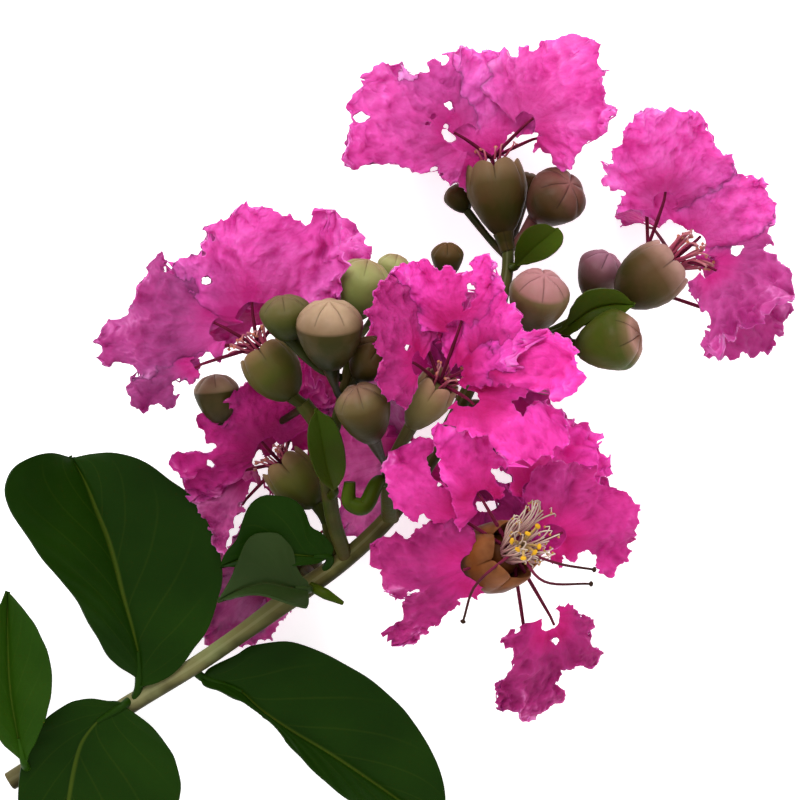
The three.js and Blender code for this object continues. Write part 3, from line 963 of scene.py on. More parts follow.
ROSE_BUD = Finish(
    "rose_bud",
    ((0.0, 34, 28, 5), (0.6, 48, 36, 12), (0.86, 64, 44, 24), (0.96, 90, 60, 46), (1.0, 122, 80, 76)),
    (120, 68, 70), (34, 12, 10), patch_share=0.6, patch_scale=90, line_share=0.6, shine=0.08,
)
BLUSH_BUD = Finish(
    "blush_bud",
    ((0.0, 30, 28, 5), (0.5, 52, 44, 16), (0.78, 92, 80, 48), (0.83, 146, 102, 98), (1.0, 170, 116, 122)),
    (116, 86, 66), (56, 26, 24), patch_scale=160, shine=0.08,
)
PEAR_BUD = Finish(
    "pear_bud",
    ((0.0, 26, 22, 3), (0.5, 42, 38, 8), (0.72, 66, 54, 24), (0.86, 94, 80, 50), (1.0, 134, 102, 84)),
    (72, 44, 28), (36, 20, 10), patch_share=0.5, patch_scale=160, line_share=0.4, shine=0.07,
)
PURPLE_BUD = Finish(
    "purple_bud",
    ((0.0, 38, 30, 8), (0.45, 58, 40, 22), (0.75, 118, 76, 84), (1.0, 166, 116, 136)),
    (70, 42, 36), (30, 10, 12), patch_scale=200, line_share=0.6, shine=0.08,
)
OLIVE_CALYX = Finish(
    "olive_calyx",
    ((0.0, 36, 38, 6), (0.5, 52, 46, 14), (0.75, 70, 57, 29), (1.0, 112, 88, 64)),
    (78, 50, 32), (26, 16, 4), patch_share=0.45,
)
BLUSH_CALYX = Finish(
    "blush_calyx",
    ((0.0, 36, 38, 6), (0.45, 54, 47, 15), (0.7, 76, 60, 34), (0.85, 128, 98, 82), (1.0, 170, 132, 122)),
    (84, 54, 38), (40, 22, 14), patch_share=0.45,
)
GREEN_CALYX = Finish(
    "green_calyx",
    ((0.0, 34, 42, 5), (0.5, 60, 62, 18), (0.8, 80, 76, 32), (1.0, 124, 98, 68)),
    (78, 56, 34), (30, 22, 6),
)
TAN_CALYX = Finish(
    "tan_calyx",
    ((0.0, 64, 60, 26), (0.5, 102, 92, 52), (0.8, 122, 104, 68), (1.0, 144, 106, 86)),
    (92, 78, 44), (60, 44, 22), line_share=0.4,
)
GOLD_CALYX = Finish(
    "gold_calyx",
    ((0.0, 44, 32, 6), (0.5, 86, 44, 14), (0.8, 104, 56, 22), (1.0, 130, 80, 46)),
    (58, 26, 10), (50, 20, 6), patch_share=0.6, line_share=0.4, glow=0.15,
)
FRESH_BRACT = Finish(
    "fresh_bract",
    ((0.0, 42, 54, 2), (0.5, 50, 68, 4), (1.0, 58, 78, 8)),
    (56, 46, 14), (60, 74, 20), patch_share=0.3, patch_scale=200, line_share=0.2, shine=0.04,
)
DARK_LEAF = VeinedFinish(
    "dark_leaf",
    ((0.0, 24, 48, 3), (0.3, 19, 43, 2), (1.0, 17, 40, 2)),
    (26, 52, 5), (70, 84, 22), line_share=0.6, shine=0.04,
)
PALE_LEAF = VeinedFinish(
    "pale_leaf",
    ((0.0, 34, 64, 5), (1.0, 28, 56, 4)),
    (44, 72, 12), (84, 104, 34), line_share=0.42,
)
GREY_LEAF = VeinedFinish(
    "grey_leaf",
    ((0.0, 38, 54, 20), (1.0, 33, 50, 17)),
    (48, 64, 30), (70, 80, 44), patch_scale=90, line_share=0.4, painted_shade_and_mottle=(0.7, 0.75, 0.7), roughness=0.45, shine=0.08,
)
GOLD_THREAD = ThreadFinish(
    "gold_thread",
    ((0.0, 168, 146, 138), (0.7, 180, 154, 98), (0.86, 186, 138, 28), (1.0, 206, 156, 34)),
    (140, 94, 34), roughness=0.6,
)
PINK_THREAD = ThreadFinish(
    "pink_thread",
    ((0.0, 130, 30, 66), (0.4, 168, 76, 96), (0.8, 196, 138, 134), (0.9, 170, 96, 72), (1.0, 184, 112, 84)),
    (150, 60, 80),
)
PALE_THREAD = ThreadFinish(
    "pale_thread",
    ((0.0, 150, 60, 90), (0.3, 184, 140, 130), (0.8, 206, 192, 172), (0.9, 176, 136, 60), (1.0, 176, 130, 40)),
    (170, 120, 120), patch_share=0.35,
)
DARK_THREAD = ThreadFinish(
    "dark_thread",
    ((0.0, 140, 40, 78), (0.5, 84, 24, 42), (1.0, 44, 30, 18)),
    (60, 24, 34), patch_share=0.4, patch_scale=500, glow=0.0,
)
# The last colour of each petal finish is its painted shading colour; for these two it is darker, painted shade.
LILAC_PETAL = petal_finish(
    "lilac_petal", (172, 36, 116), (230, 88, 178), (240, 114, 198), (206, 98, 170), (118, 50, 96)
)
HOT_PETAL = petal_finish(
    "hot_petal", (160, 14, 88), (242, 72, 178), (248, 104, 198), (208, 54, 146), (142, 38, 98)
)
# A darker copy of the petal colours for the blooms that lie low and under the others: painted shade; its painted
# shading colour is lighter, painted light on some of their petals.
SHADED_PETAL = petal_finish(
    "deep_petal", (126, 16, 78), (166, 38, 116), (196, 68, 150), (128, 28, 88), (196, 118, 166)
)


@dataclass(frozen=True)
class Limb:
    """A woody limb, from its foot to its tip."""

    name: str
    path: tuple[Vec, ...]
    radii: tuple[float, ...]
    finish: Finish = GREEN_TWIG

    SIDES = 20
    STEPS = 10
    RIDGE = 0.05

    def build(self, site: Site) -> None:
        """Makes the limb."""
        piece = Piece(f"{self.name}_bark", site)
        piece.tube(Path(self.path), self.radii, self.SIDES, self.STEPS * len(self.path), ridge=self.RIDGE)
        piece.show(self.finish, Slot.BARK, self.name)


LIMBS = (
    Limb(
        "main_stem",
        ((-55.4, -54.2, 1.4), (-47.6, -49.2, 3.2), (-38.4, -43.2, 6.4), (-28, -36.9, 10.4), (-15.4, -27.9, 15),
         (-7.5, -22.2, 18), (-1.5, -16.4, 20.5), (4.5, -8, 23), (9.8, 2, 24.5), (13.4, 11, 23.5), (15, 17.6, 22),
         (15.2, 21.4, 21.2)),
        (1.4, 1.35, 1.45, 1.3, 1.3, 1.6, 1.35, 1.2, 1.1, 1, 0.9, 0.85),
        YOUNG_BARK,
    ),
    Limb(
        "branch_left",
        ((-7.6, -22.3, 18), (-9.4, -16.5, 24), (-10.3, -9.5, 30), (-11.4, -3.6, 32.8), (-13.6, -0.4, 33.4)),
        (1.1, 1.15, 1.25, 1.2),
    ),
    Limb("branch_upper_left", ((-10.6, -8.4, 30.6), (-8.4, -1.5, 36), (-7.3, 3.5, 38), (-6.3, 9, 36.5)), (0.95, 0.8)),
    Limb("branch_middle", ((-1.4, -16.4, 20.5), (-1.6, -12, 27), (-1.4, -8.6, 31.5)), (1.35, 1.2, 1.05)),
    Limb("branch_front", ((1.5, -12.2, 21.8), (5.4, -16, 28), (8, -22, 32.5)), (1.1, 1)),
    Limb("branch_right", ((12.6, 8.8, 23.9), (19, 8.6, 25), (25, 11.2, 24.6), (29.6, 14, 23.6)), (1, 0.95)),
    Limb("branch_under_left", ((-9.5, -23.6, 17.2), (-9.8, -20, 17), (-10.2, -17.2, 17.6)), (0.95, 0.9)),
)


def stalk_path(start: Vec, foot: Vector, axis: Vector, sag: float = 0.0) -> Path:
    """The bow of a stalk that leaves its limb, hangs by a sag and ends in line with what it carries."""
    first = Vector(start)
    bow = first.lerp(foot, 0.55) - axis * (0.15 * (foot - first).length) - ZENITH * sag
    return Path((first, bow, foot))


@dataclass(frozen=True)
class Bud:
    """A round bud on its stalk, closed by six sepals that meet in a star.

    Attributes:
        name: The solid that it stands for.
        at: Its middle.
        radius: Its widest radius.
        tip: Where its tip points.
        stalk: Where its stalk starts.
        finish: What it is made of.
        turn: How far the star is turned, in degrees.
        long: How long it is for its width.
        sag: How far its stalk hangs down between its ends.
    """

    name: str
    at: Vec
    radius: float
    tip: Vec
    stalk: Vec
    finish: Finish
    turn: float = 0.0
    long: float = 1.0
    sag: float = 0.0

    PROFILE = (
        (0, -1.15), (0.2, -1.13), (0.36, -1.05), (0.56, -0.84), (0.74, -0.56), (0.88, -0.24), (0.97, 0.06), (1.0, 0.27),
        (0.97, 0.41), (0.89, 0.55), (0.78, 0.68), (0.65, 0.8), (0.52, 0.89), (0.34, 0.94), (0.15, 0.98), (0, 1.0),
    )
    SIDES = 60
    CROWN = (0.1, 0.6)
    CROWN_SEEN = 0.02
    SEAM = (0.0, 0.3)
    SEAM_DEPTH = 0.03
    FACET = 0.05
    LUMPS = 0.012
    LUMP_SCALE = 2
    LIT = (-1.1, 0.3)
    FOOT = 0.95
    STALK = (0.6, 0.5)
    STALK_END = 0.3

    def shape(self, radius: float, height: float, turn: float) -> Spot:
        """Draws in the seams between the sepals and lifts the faces between them.

        Args:
            radius: The radius of the profile there.
            height: Its height.
            turn: The turn about the axis.

        Returns:
            The place of the bud.
        """
        between = abs(math.cos(SEPALS / 2 * turn))
        crown = smooth(*self.CROWN, height)
        seam = 1 - smooth(*self.SEAM, between)
        pull = 1 + self.FACET * (between - 0.5) * crown - self.SEAM_DEPTH * seam * crown
        lumps = noise.noise(spoke(turn, 1, height) * self.LUMP_SCALE + Vector(self.at))
        size = self.radius * pull * (1 + self.LUMPS * lumps)
        along = 0.12 + 0.88 * (height + 1.15) / 2.15
        across = 1 - (1 - between) * crown if crown > self.CROWN_SEEN else 1.0
        point = spoke(turn, radius * size, height * size * self.long)
        # The shade measure falls towards the bud's foot: painted shade.
        return Spot(point, along, across, 0.35 + 0.65 * smooth(*self.LIT, height))

    def build(self, site: Site) -> None:
        """Makes the bud and its stalk.

        Args:
            site: Where the picture's frame stands.
        """
        piece = Piece(f"{self.name}_sepals", site)
        tip, at = Vector(self.tip).normalized(), Vector(self.at)
        piece.turned(self.PROFILE, self.SIDES, Stand(at, tip, self.turn), self.shape)
        foot = at - tip * (self.FOOT * self.radius * self.long)
        path = stalk_path(self.stalk, foot, tip, self.sag)
        piece.tube(path, (*self.STALK, self.STALK_END * self.radius), 12, 14, (0.0, 0.1))
        piece.show(self.finish, Slot.BUD, self.name)


BUDS = (
    Bud("bud_top", (21.6, 28.2, 23), 4.2, (0.53, 0.5, 0.68), (15.2, 20.6, 21.4), ROSE_BUD, 20),
    Bud("bud_top_back", (17.8, 29.8, 13.4), 2.3, (0.2, 0.9, -0.4), (15.2, 20.8, 21.3), OLIVE_BUD),
    Bud("bud_top_left", (8.3, 28.4, 16.4), 2, (-0.5, 0.8, -0.2), (15.1, 20, 21.5), OLIVE_BUD),
    Bud("bud_rose", (19.2, 13.9, 32), 4.3, (0.2, 0.8, 0.55), (17.4, 8.5, 24.9), BLUSH_BUD, 10),
    Bud("bud_small_up", (6.6, 19.7, 28.6), 2.3, (0, 1, 0.3), (11.3, 5.8, 24), OLIVE_BUD),
    Bud("bud_green", (-5.4, 15.6, 35.4), 4, (0.25, 1, 0.1), (-6.5, 8.2, 36.7), PALE_BUD),
    Bud("bud_green_small", (-1, 18, 29.4), 2.4, (0.3, 1, 0.1), (-6.5, 8, 36.7), PALE_BUD),
    Bud("bud_left", (-15.8, 11.5, 42.4), 3.6, (-0.15, 0.95, 0.25), (-7.5, 2.8, 37.8), MOSS_BUD, long=0.84),
    Bud("bud_tan", (-9.7, 9.2, 46), 4.7, (-0.02, 0.93, 0.36), (-8, 0, 36.6), TAN_BUD, 30),
    Bud("bud_tan_back", (-4.1, 5.6, 41.6), 3.2, (0.5, 0.7, 0.5), (-8.2, -0.8, 36.3), OLIVE_BUD),
    Bud("bud_far_left", (-25.6, 0.4, 25.6), 3.2, (-0.1, 0.95, 0.1), (-13, -0.8, 33.4), TAN_BUD, sag=12),
    Bud("bud_pear", (-4.9, -1.7, 43.4), 3.9, (-0.25, 0.85, 0.4), (-1.4, -9, 31), PEAR_BUD, 0, 1.05),
    Bud("bud_right", (29.4, 8.2, 27.6), 4.4, (0.93, 0.22, 0.3), (22.8, 9.8, 24.9), GREEN_BUD, 15),
    Bud("bud_right_back", (28, 17.8, 16.8), 3.3, (0.4, 0.85, 0.3), (27.6, 12.8, 24.1), PURPLE_BUD),
    Bud("bud_dark", (20, 2.6, 31), 2, (0.6, 0.2, 0.7), (11.9, 6.8, 24.1), PURPLE_BUD),
)


@dataclass(frozen=True)
class PetalCut:
    """How every petal is cut and ruffled, in shares of its length where nothing else is said.

    Attributes:
        root: How far from its root the blade starts, as a share of its reach.
        spread: How far it fans out to each side.
        narrowing: How fast its reach falls with the lean, and to which power.
        notch: How far its outline bulges in and out.
        notches: How closely it does so.
        fullness: How far it reaches at its middle.
        overlap: How far it runs over a line that it fills.
        directions: Over how many directions its reach is read.
        even: Over how many of them it is evened out.
        curl: How far its margin falls.
        sway: How far its ruffles lean sideways.
        fringes: How fine and how deep the notches of its margin are.
        waves: How many waves there are, how high and how much they grow outwards.
        crumples: How fine they are across and along, how high and how much they grow outwards.
        creases: How fine and how deep the creases are, in millimetres.
        drift: How far the surface strays in all directions, in millimetres.
        drift_scale: How fine that is.
        loose: Between which shares of the blade the creases start, and between which they grow once more.
        shades: The shade measure's middle, and how much crumples, waves and creases add.
        floor: How low it may lie, in millimetres.
        ceiling: How high it may stand, in millimetres.
        thickness: How thick it is, in millimetres.
        claw_radius: How thick its claw is, in millimetres.
    """

    root: float = 0.14
    spread: float = math.radians(104)
    narrowing: tuple[float, float] = (0.8, 0.3)
    notch: float = 0.07
    notches: float = 7.0
    fullness: float = 1.18
    overlap: float = 1.03
    directions: int = 100
    even: int = 5
    curl: float = 0.15
    sway: float = 0.09
    fringes: tuple[tuple[float, float], ...] = ((7.0, 0.13), (15.0, 0.15), (33.0, 0.13))
    waves: tuple[Vec, ...] = ((2.6, 0.09, 1.4), (6.3, 0.05, 2.6), (12.4, 0.026, 3.4), (21.0, 0.014, 6.0))
    crumples: tuple[tuple[float, float, float, float], ...] = ((4.0, 2.4, 0.16, 1.2), (9.0, 6.0, 0.08, 1.3))
    creases: tuple[tuple[float, float], ...] = ((0.5, 0.75), (1.1, 0.42), (1.9, 0.2))
    drift: float = 0.45
    drift_scale: float = 0.6
    loose: tuple[Span, Span] = ((0.05, 0.45), (0.5, 0.95))
    shades: tuple[float, float, float, float] = (0.52, 2.6, 1.6, 0.55)
    floor: float = 0.45
    ceiling: float = 52.5
    thickness: float = 0.2
    claw_radius: float = 0.27

    def kept(self, height: float) -> float:
        """A height that is eased off within a millimetre of the floor or the ceiling."""
        low, high = height - self.floor, self.ceiling - height
        if low < 1:
            return self.floor + math.exp(low - 1)
        return self.ceiling - math.exp(high - 1) if high < 1 else height


@dataclass(frozen=True)
class Blade:
    """Where one petal's blade lies in its bloom.

    Attributes:
        at: Its middle.
        length: How long it is.
        tone: How far its blade takes the painted shading colour, from 0 to 1.
        heart: Where its claw starts, if not at the middle of the calyx.
    """

    at: Vec
    length: float
    tone: float = 0.0
    heart: Vec | None = None


@dataclass(frozen=True)
class Petal:
    """One petal of a bloom.

    Attributes:
        heart: Where its claw leaves the ovary.
        centre: The middle of its blade.
        length: How long the blade is.
        face: Where its upper side faces.
        phase: What sets its own ruffles apart.
        outline: The line on the picture that it fills.
        stretch: How many times its own length it grows at most to fill that line.
        cut: How it is cut.
    """

    heart: Vector
    centre: Vector
    length: float
    face: Vector
    phase: float
    outline: Outline | None = None
    stretch: float = 1.0
    cut: PetalCut = PetalCut()

    STEEP = 0.3
    CLAW_END = 0.15
    CLAW_BEND = 0.05
    CLAW_DROP = 0.5

    def axes(self) -> tuple[Vector, Vector, Vector, Vector]:
        """Its root and its directions along, sideways and up.

        Returns:
            The root, then the three unit directions.
        """
        along = (self.centre - self.heart).normalized()
        up = (self.face - along * self.face.dot(along)).normalized()
        return self.centre - along * (0.5 * self.length), along, along.cross(up), up

    def reach(self, across: float) -> float:
        """How far the blade reaches at a place across: as far as it is cut, or to its outline if that is near.

        Args:
            across: The place across, from -1 to 1.

        Returns:
            The reach from the root, in millimetres.
        """
        root, along, side, _ = self.axes()
        cut, lean = self.cut, across * self.cut.spread
        slow, power = cut.narrowing
        reach = self.length * cut.fullness * max(0.0, math.cos(slow * lean)) ** power
        reach *= 1 + cut.notch * math.sin(cut.notches * across + 2 * self.phase)
        way = (along * math.cos(lean) + side * math.sin(lean)).to_2d()
        if not self.outline or way.length <= self.STEEP:
            return reach
        hits = [step for step in self.outline.hits(root, way) if step < self.stretch * reach]
        return max(reach, cut.overlap * hits[-1]) if hits else reach

    def reaches(self) -> list[float]:
        """Its reaches for even steps across, each the mean of the longest ones near it."""
        steps, even = self.cut.directions, self.cut.even
        far = [self.reach(2 * index / steps - 1) for index in range(1 - even, steps + even)]
        peaks = [max(run) for run in windows(far, even)]
        return [sum(run) / even for run in windows(peaks, even)]

    def blade(self) -> Rule:
        """The rule that makes the blade.

        Returns:
            What gives each place across and along its point and its shade.
        """
        root, along, side, up = self.axes()
        cut, phase, length = self.cut, self.phase, self.length
        own = Vector((phase * 3.1, phase * 1.7, length))
        reaches = self.reaches()
        middle, crumpled, waved, creased = cut.shades

        def fold(across: float, out: float, fine: float) -> float:
            """The petal's own noise at a place across and along."""
            return noise.noise(own + Vector((across, out, fine)))

        def rule(across: float, share: float) -> tuple[Vector, float]:
            """Puts one place of the blade.

            Args:
                across: The place across, from -1 to 1.
                share: The place along, from 0 to 1.

            Returns:
                The point and its shade.
            """
            out = cut.root + (1 - cut.root) * share
            ragged = sum(size * (abs(fold(fine * across, 0, fine)) - 0.3) for fine, size in cut.fringes)
            reach = read(reaches, (across + 1) / 2 * cut.directions) * out * (1 + ragged * share**2)
            waves = [
                size * out**power * math.sin(math.pi * count * across + phase * count**0.7 + 1.3 * out)
                for count, size, power in cut.waves
            ]
            crumples = sum(
                size * out**power * fold(fine * across, coarse * out, fine)
                for fine, coarse, size, power in cut.crumples
            )
            lean = across * cut.spread + cut.sway * share**2 * fold(7 * across, 3 * out, 5)
            lift = length * (sum(waves) + crumples) - cut.curl * reach * reach / length
            flat = root + along * (reach * math.cos(lean)) + side * (reach * math.sin(lean))
            start, grow = cut.loose
            loose = smooth(*start, share) * (0.5 + 0.5 * smooth(*grow, share))
            creases = sum(size * (0.45 - 2 * abs(noise.noise(own + flat * fine))) for fine, size in cut.creases)
            drift = noise.noise_vector(own + flat * cut.drift_scale) * (cut.drift * loose)
            point = flat + up * (lift + loose * creases) + drift
            point.z = cut.kept(point.z)
            # The shade measure follows the ruffles: the finish paints shade into their creases and highlight onto their
            # crests.
            return point, middle + crumpled * crumples + waved * sum(waves[1:]) + creased * loose * creases

        return rule

    def claw(self) -> Path:
        """The line of the thin claw that carries the blade out of the calyx."""
        root, along, _, up = self.axes()
        bend, end = (root + along * (share * self.length) for share in (self.CLAW_BEND, self.CLAW_END))
        return Path((self.heart, bend, end - up * self.CLAW_DROP))


@dataclass(frozen=True)
class Bloom:
    """An open flower: a six-lobed calyx on its stalk and ruffled petals on thin claws.

    Attributes:
        name: Its name.
        stalk: Where its stalk starts.
        foot: The calyx's foot.
        rim: The middle of the calyx's rim.
        radius: The calyx's radius.
        face: Where the petals' upper sides face.
        blades: Where the petals' blades lie.
        finish: What the petals are made of.
        cup: What the calyx is made of.
        lie: How openly it lies to the camera.
        outlines: The lines on the picture that its petals fill.
        stretch: How many times its own length a petal grows at most to fill its line.
        drop: How far the calyx sits back from its rim, as a share of its radius.
        sepals: How far its six sepals rise, as a share of how far they could.
        taper: How far its foot narrows towards the stalk, from 0 to 1.
        long: How long it is for its width.
        stalk_radii: The stalk's radii from its foot to the calyx.
    """

    name: str
    stalk: Vec
    foot: Vec
    rim: Vec
    radius: float
    face: Vec
    blades: tuple[Blade, ...]
    finish: Finish
    cup: Finish = OLIVE_CALYX
    lie: Lie = Lie.OPEN
    outlines: tuple[Pixels, ...] = ()
    stretch: float = 1.2
    drop: float = 0.15
    sepals: float = 1.0
    taper: float = 0.0
    long: float = 1.0
    stalk_radii: tuple[float, ...] = (0.8, 0.85, 1.0)

    CUP_PROFILE = (
        (0, -1.72), (0.2, -1.7), (0.38, -1.62), (0.6, -1.44), (0.82, -1.14), (0.98, -0.76), (1.05, -0.38), (1.03, 0),
        (0.95, 0.28), (0.86, 0.46), (0.81, 0.5), (0.77, 0.4), (0.75, 0.2), (0.72, -0.1), (0.62, -0.45), (0.4, -0.68),
        (0.2, -0.76), (0, -0.78),
    )
    OVARY_PROFILE = (
        (0, -0.72), (0.3, -0.66), (0.54, -0.45), (0.64, -0.1), (0.6, 0.15), (0.46, 0.36), (0.24, 0.48), (0, 0.52),
    )
    CUP_SIDES = 72
    OVARY_SIDES = 24
    RISING = (0.0, 0.5)
    RISE = 0.3
    FLARE = 0.06
    SEAM = (0.0, 0.25)
    SEAM_START = (-0.7, 0.3)
    SEAM_DEPTH = 0.035
    NOTCH_START = (0.1, 0.4)
    NOTCH_DEPTH = 0.1
    FACET_START = (-1.2, 0.0)
    FACET = 0.025
    FOOT_END = (-1.72, -0.2)
    FOOT_NARROWS = 0.45
    FOOT_RISES = 0.5
    LOBE_START = (-0.9, 0.1)
    LIT = (-1.5, -0.2)
    PHASE = 1.7
    CLAW_TAPER = (0.9, 1, 0.7)
    CLAW_SPAN = (-0.1, -0.1)

    @property
    def axis(self) -> Vector:
        """Where the calyx opens to."""
        return (Vector(self.rim) - Vector(self.foot)).normalized()

    def cup_shape(self, radius: float, height: float, turn: float) -> Spot:
        """Raises the six pointed sepals from the calyx's rim and draws in the seams between them.

        Args:
            radius: The radius of the profile there.
            height: Its height.
            turn: The turn about the axis.

        Returns:
            The place of the calyx.
        """
        lobe = abs(math.cos(SEPALS / 2 * turn))
        rise = smooth(*self.RISING, height) * lobe * self.sepals
        seam = (1 - smooth(*self.SEAM, lobe)) * smooth(*self.SEAM_START, height)
        notch = self.NOTCH_DEPTH * seam * smooth(*self.NOTCH_START, height)
        facet = self.FACET * (lobe - 0.6) * smooth(*self.FACET_START, height)
        foot = self.taper * (1 - smooth(*self.FOOT_END, height))
        wide = radius * (1 + self.FLARE * rise - self.SEAM_DEPTH * seam + facet - self.FOOT_NARROWS * foot)
        tall = height + self.RISE * rise - notch - self.FOOT_RISES * foot - self.drop
        along = min(1.0, 0.1 + 0.9 * (height + 1.85) / 2.35 + 0.1 * rise)
        across = 1 - (1 - lobe) * smooth(*self.LOBE_START, height)
        # The shade measure falls towards the calyx's foot: painted shade.
        shade = 0.35 + 0.5 * smooth(*self.LIT, height)
        return Spot(spoke(turn, wide, tall * self.long) * self.radius, along, across, shade)

    def ovary_shape(self, radius: float, height: float, turn: float) -> Spot:
        """Leaves the ovary round."""
        return Spot(spoke(turn, radius, height - self.drop) * self.radius, 0.5, 1.0, 0.5)

    def build(self, site: Site) -> None:
        """Makes the calyx with its stalk, then the petals with their claws.

        Args:
            site: Where the picture's frame stands.
        """
        rim = Vector(self.rim)
        calyx = Piece(f"{self.name}_flower_cup", site)
        calyx.turned(self.CUP_PROFILE, self.CUP_SIDES, Stand(rim, self.axis), self.cup_shape)
        calyx.turned(self.OVARY_PROFILE, self.OVARY_SIDES, Stand(rim, self.axis), self.ovary_shape)
        foot = rim - self.axis * ((1.62 + 0.4 * self.taper + self.drop) * self.long * self.radius)
        calyx.tube(stalk_path(self.stalk, foot, self.axis), self.stalk_radii, 16, 12, (0.0, 0.12))
        calyx.show(self.cup, Slot.CALYX, f"calyx_{self.name}")
        petals = Piece(f"{self.name}_flower_petals", site)
        heart = rim + self.axis * (0.4 * self.radius)
        outlines = [Outline(pixels) for pixels in self.outlines]
        for index, blade in enumerate(self.blades):
            centre = Vector(blade.at)
            line = next((line for line in outlines if line.holds(centre)), outlines[0] if outlines else None)
            start = Vector(blade.heart or heart)
            petal = Petal(start, centre, blade.length, Vector(self.face), self.PHASE * index, line, self.stretch)
            holes = HOLES if line else ()
            petals.sheet(self.lie.value, petal.cut.thickness, petal.blade(), line, holes, blade.tone)
            radii = [share * petal.cut.claw_radius for share in self.CLAW_TAPER]
            petals.tube(petal.claw(), radii, 8, 8, self.CLAW_SPAN)
        petals.show(self.finish, Slot.PETAL, f"petals_{self.name}")


TOP_OUTLINE = (
    (355, 170), (344, 162), (342, 142), (349, 135), (346, 127), (354, 122), (350, 116), (345, 108), (353, 97),
    (361, 96), (365, 85), (363, 72), (382, 64), (387, 66), (387, 76), (395, 77), (393, 65), (404, 63), (409, 80),
    (417, 75), (426, 70), (431, 59), (449, 65), (447, 50), (462, 49), (481, 52), (498, 54), (510, 51), (516, 55),
    (527, 44), (530, 54), (539, 52), (542, 42), (556, 41), (567, 36), (581, 37), (597, 43), (598, 51), (596, 62),
    (608, 72), (602, 79), (603, 96), (607, 104), (617, 106), (617, 113), (608, 119), (606, 135), (595, 135), (583, 142),
    (575, 155), (572, 165), (565, 170), (558, 167), (553, 154), (542, 147), (538, 152), (540, 136), (531, 133),
    (519, 137), (514, 130), (507, 137), (503, 150), (510, 162), (506, 190), (490, 206), (470, 200), (464, 186),
    (450, 182), (437, 165), (429, 171), (414, 172), (397, 164), (395, 162), (376, 160), (362, 164),
)
RIGHT_OUTLINE = (
    (650, 245), (644, 238), (633, 228), (619, 229), (618, 213), (623, 197), (632, 190), (626, 187), (607, 190),
    (602, 181), (609, 172), (603, 168), (605, 161), (611, 165), (612, 154), (619, 145), (625, 130), (633, 124),
    (638, 111), (649, 110), (663, 109), (686, 111), (697, 115), (704, 124), (709, 131), (714, 133), (709, 137),
    (713, 147), (721, 154), (731, 157), (736, 165), (734, 172), (738, 179), (747, 176), (756, 176), (765, 183),
    (770, 195), (775, 204), (771, 215), (778, 218), (770, 222), (767, 231), (770, 243), (762, 247), (769, 251),
    (779, 258), (790, 269), (792, 304), (784, 331), (774, 338), (765, 354), (758, 351), (749, 354), (739, 352),
    (738, 359), (724, 358), (718, 359), (711, 356), (703, 347), (706, 338), (705, 331), (710, 322), (708, 315),
    (700, 310), (695, 300), (690, 288), (681, 279), (665, 290), (650, 270),
)
LEFT_OUTLINE = (
    (296, 318), (338, 312), (342, 272), (353, 263), (369, 260), (373, 253), (366, 242), (361, 231), (344, 222),
    (339, 212), (326, 208), (314, 210), (311, 221), (308, 229), (300, 223), (291, 214), (285, 220), (275, 213),
    (266, 208), (258, 212), (248, 206), (239, 209), (230, 218), (218, 222), (205, 228), (205, 232), (213, 236),
    (212, 242), (203, 243), (206, 253), (200, 258), (187, 258), (173, 261), (175, 273), (169, 276), (162, 269),
    (164, 261), (157, 257), (149, 262), (147, 273), (140, 285), (134, 302), (128, 307), (129, 312), (122, 321),
    (108, 321), (101, 326), (102, 332), (95, 343), (105, 345), (103, 365), (115, 360), (127, 362), (146, 374),
    (135, 377), (132, 387), (125, 390), (132, 403), (144, 411), (151, 403), (165, 406), (177, 397), (170, 385),
    (171, 378), (179, 380), (197, 385), (196, 381), (202, 375), (199, 369), (196, 362), (203, 348), (226, 366),
    (245, 385), (275, 370), (290, 330),
)
LOWER_LEFT_OUTLINE = (
    (249, 381), (237, 390), (219, 405), (206, 414), (197, 423), (200, 430), (207, 432), (204, 438), (210, 444),
    (216, 446), (212, 454), (195, 452), (180, 451), (174, 460), (171, 471), (178, 471), (188, 481), (191, 497),
    (202, 514), (212, 531), (219, 551), (225, 557), (225, 528), (231, 528), (234, 512), (246, 511), (239, 507),
    (243, 496), (254, 482), (264, 482), (271, 494), (286, 485), (302, 473), (309, 462), (322, 440), (336, 415),
    (349, 400), (350, 378), (340, 368), (325, 362), (318, 345), (300, 345), (290, 362), (270, 375),
)
CENTRE_OUTLINE = (
    (366, 312), (371, 307), (378, 286), (385, 274), (398, 268), (408, 263), (423, 262), (432, 266), (444, 269),
    (454, 268), (458, 278), (467, 276), (473, 282), (467, 290), (464, 301), (465, 311), (470, 312), (474, 297),
    (476, 282), (473, 270), (469, 263), (478, 257), (486, 256), (491, 260), (497, 265), (494, 274), (501, 280),
    (504, 291), (509, 303), (519, 307), (522, 318), (519, 332), (520, 337), (530, 334), (538, 331), (547, 330),
    (549, 335), (559, 333), (563, 339), (572, 343), (576, 353), (572, 364), (584, 374), (584, 381), (572, 393),
    (563, 400), (551, 399), (549, 388), (530, 391), (517, 384), (501, 383), (478, 387), (467, 387), (459, 380),
    (442, 380), (423, 380), (406, 410), (398, 400), (385, 400), (377, 385), (375, 376), (383, 360), (375, 345),
    (373, 330),
)
FRONT_MIDDLE_OUTLINE = (
    (433, 427), (438, 422), (448, 426), (458, 431), (464, 432), (471, 438), (478, 433), (486, 436), (493, 444),
    (503, 457), (511, 464), (500, 470), (489, 469), (494, 478), (497, 486), (503, 496), (492, 500), (477, 502),
    (477, 514), (484, 530), (500, 550), (480, 560), (462, 540), (452, 500), (444, 480), (438, 458), (434, 441),
)
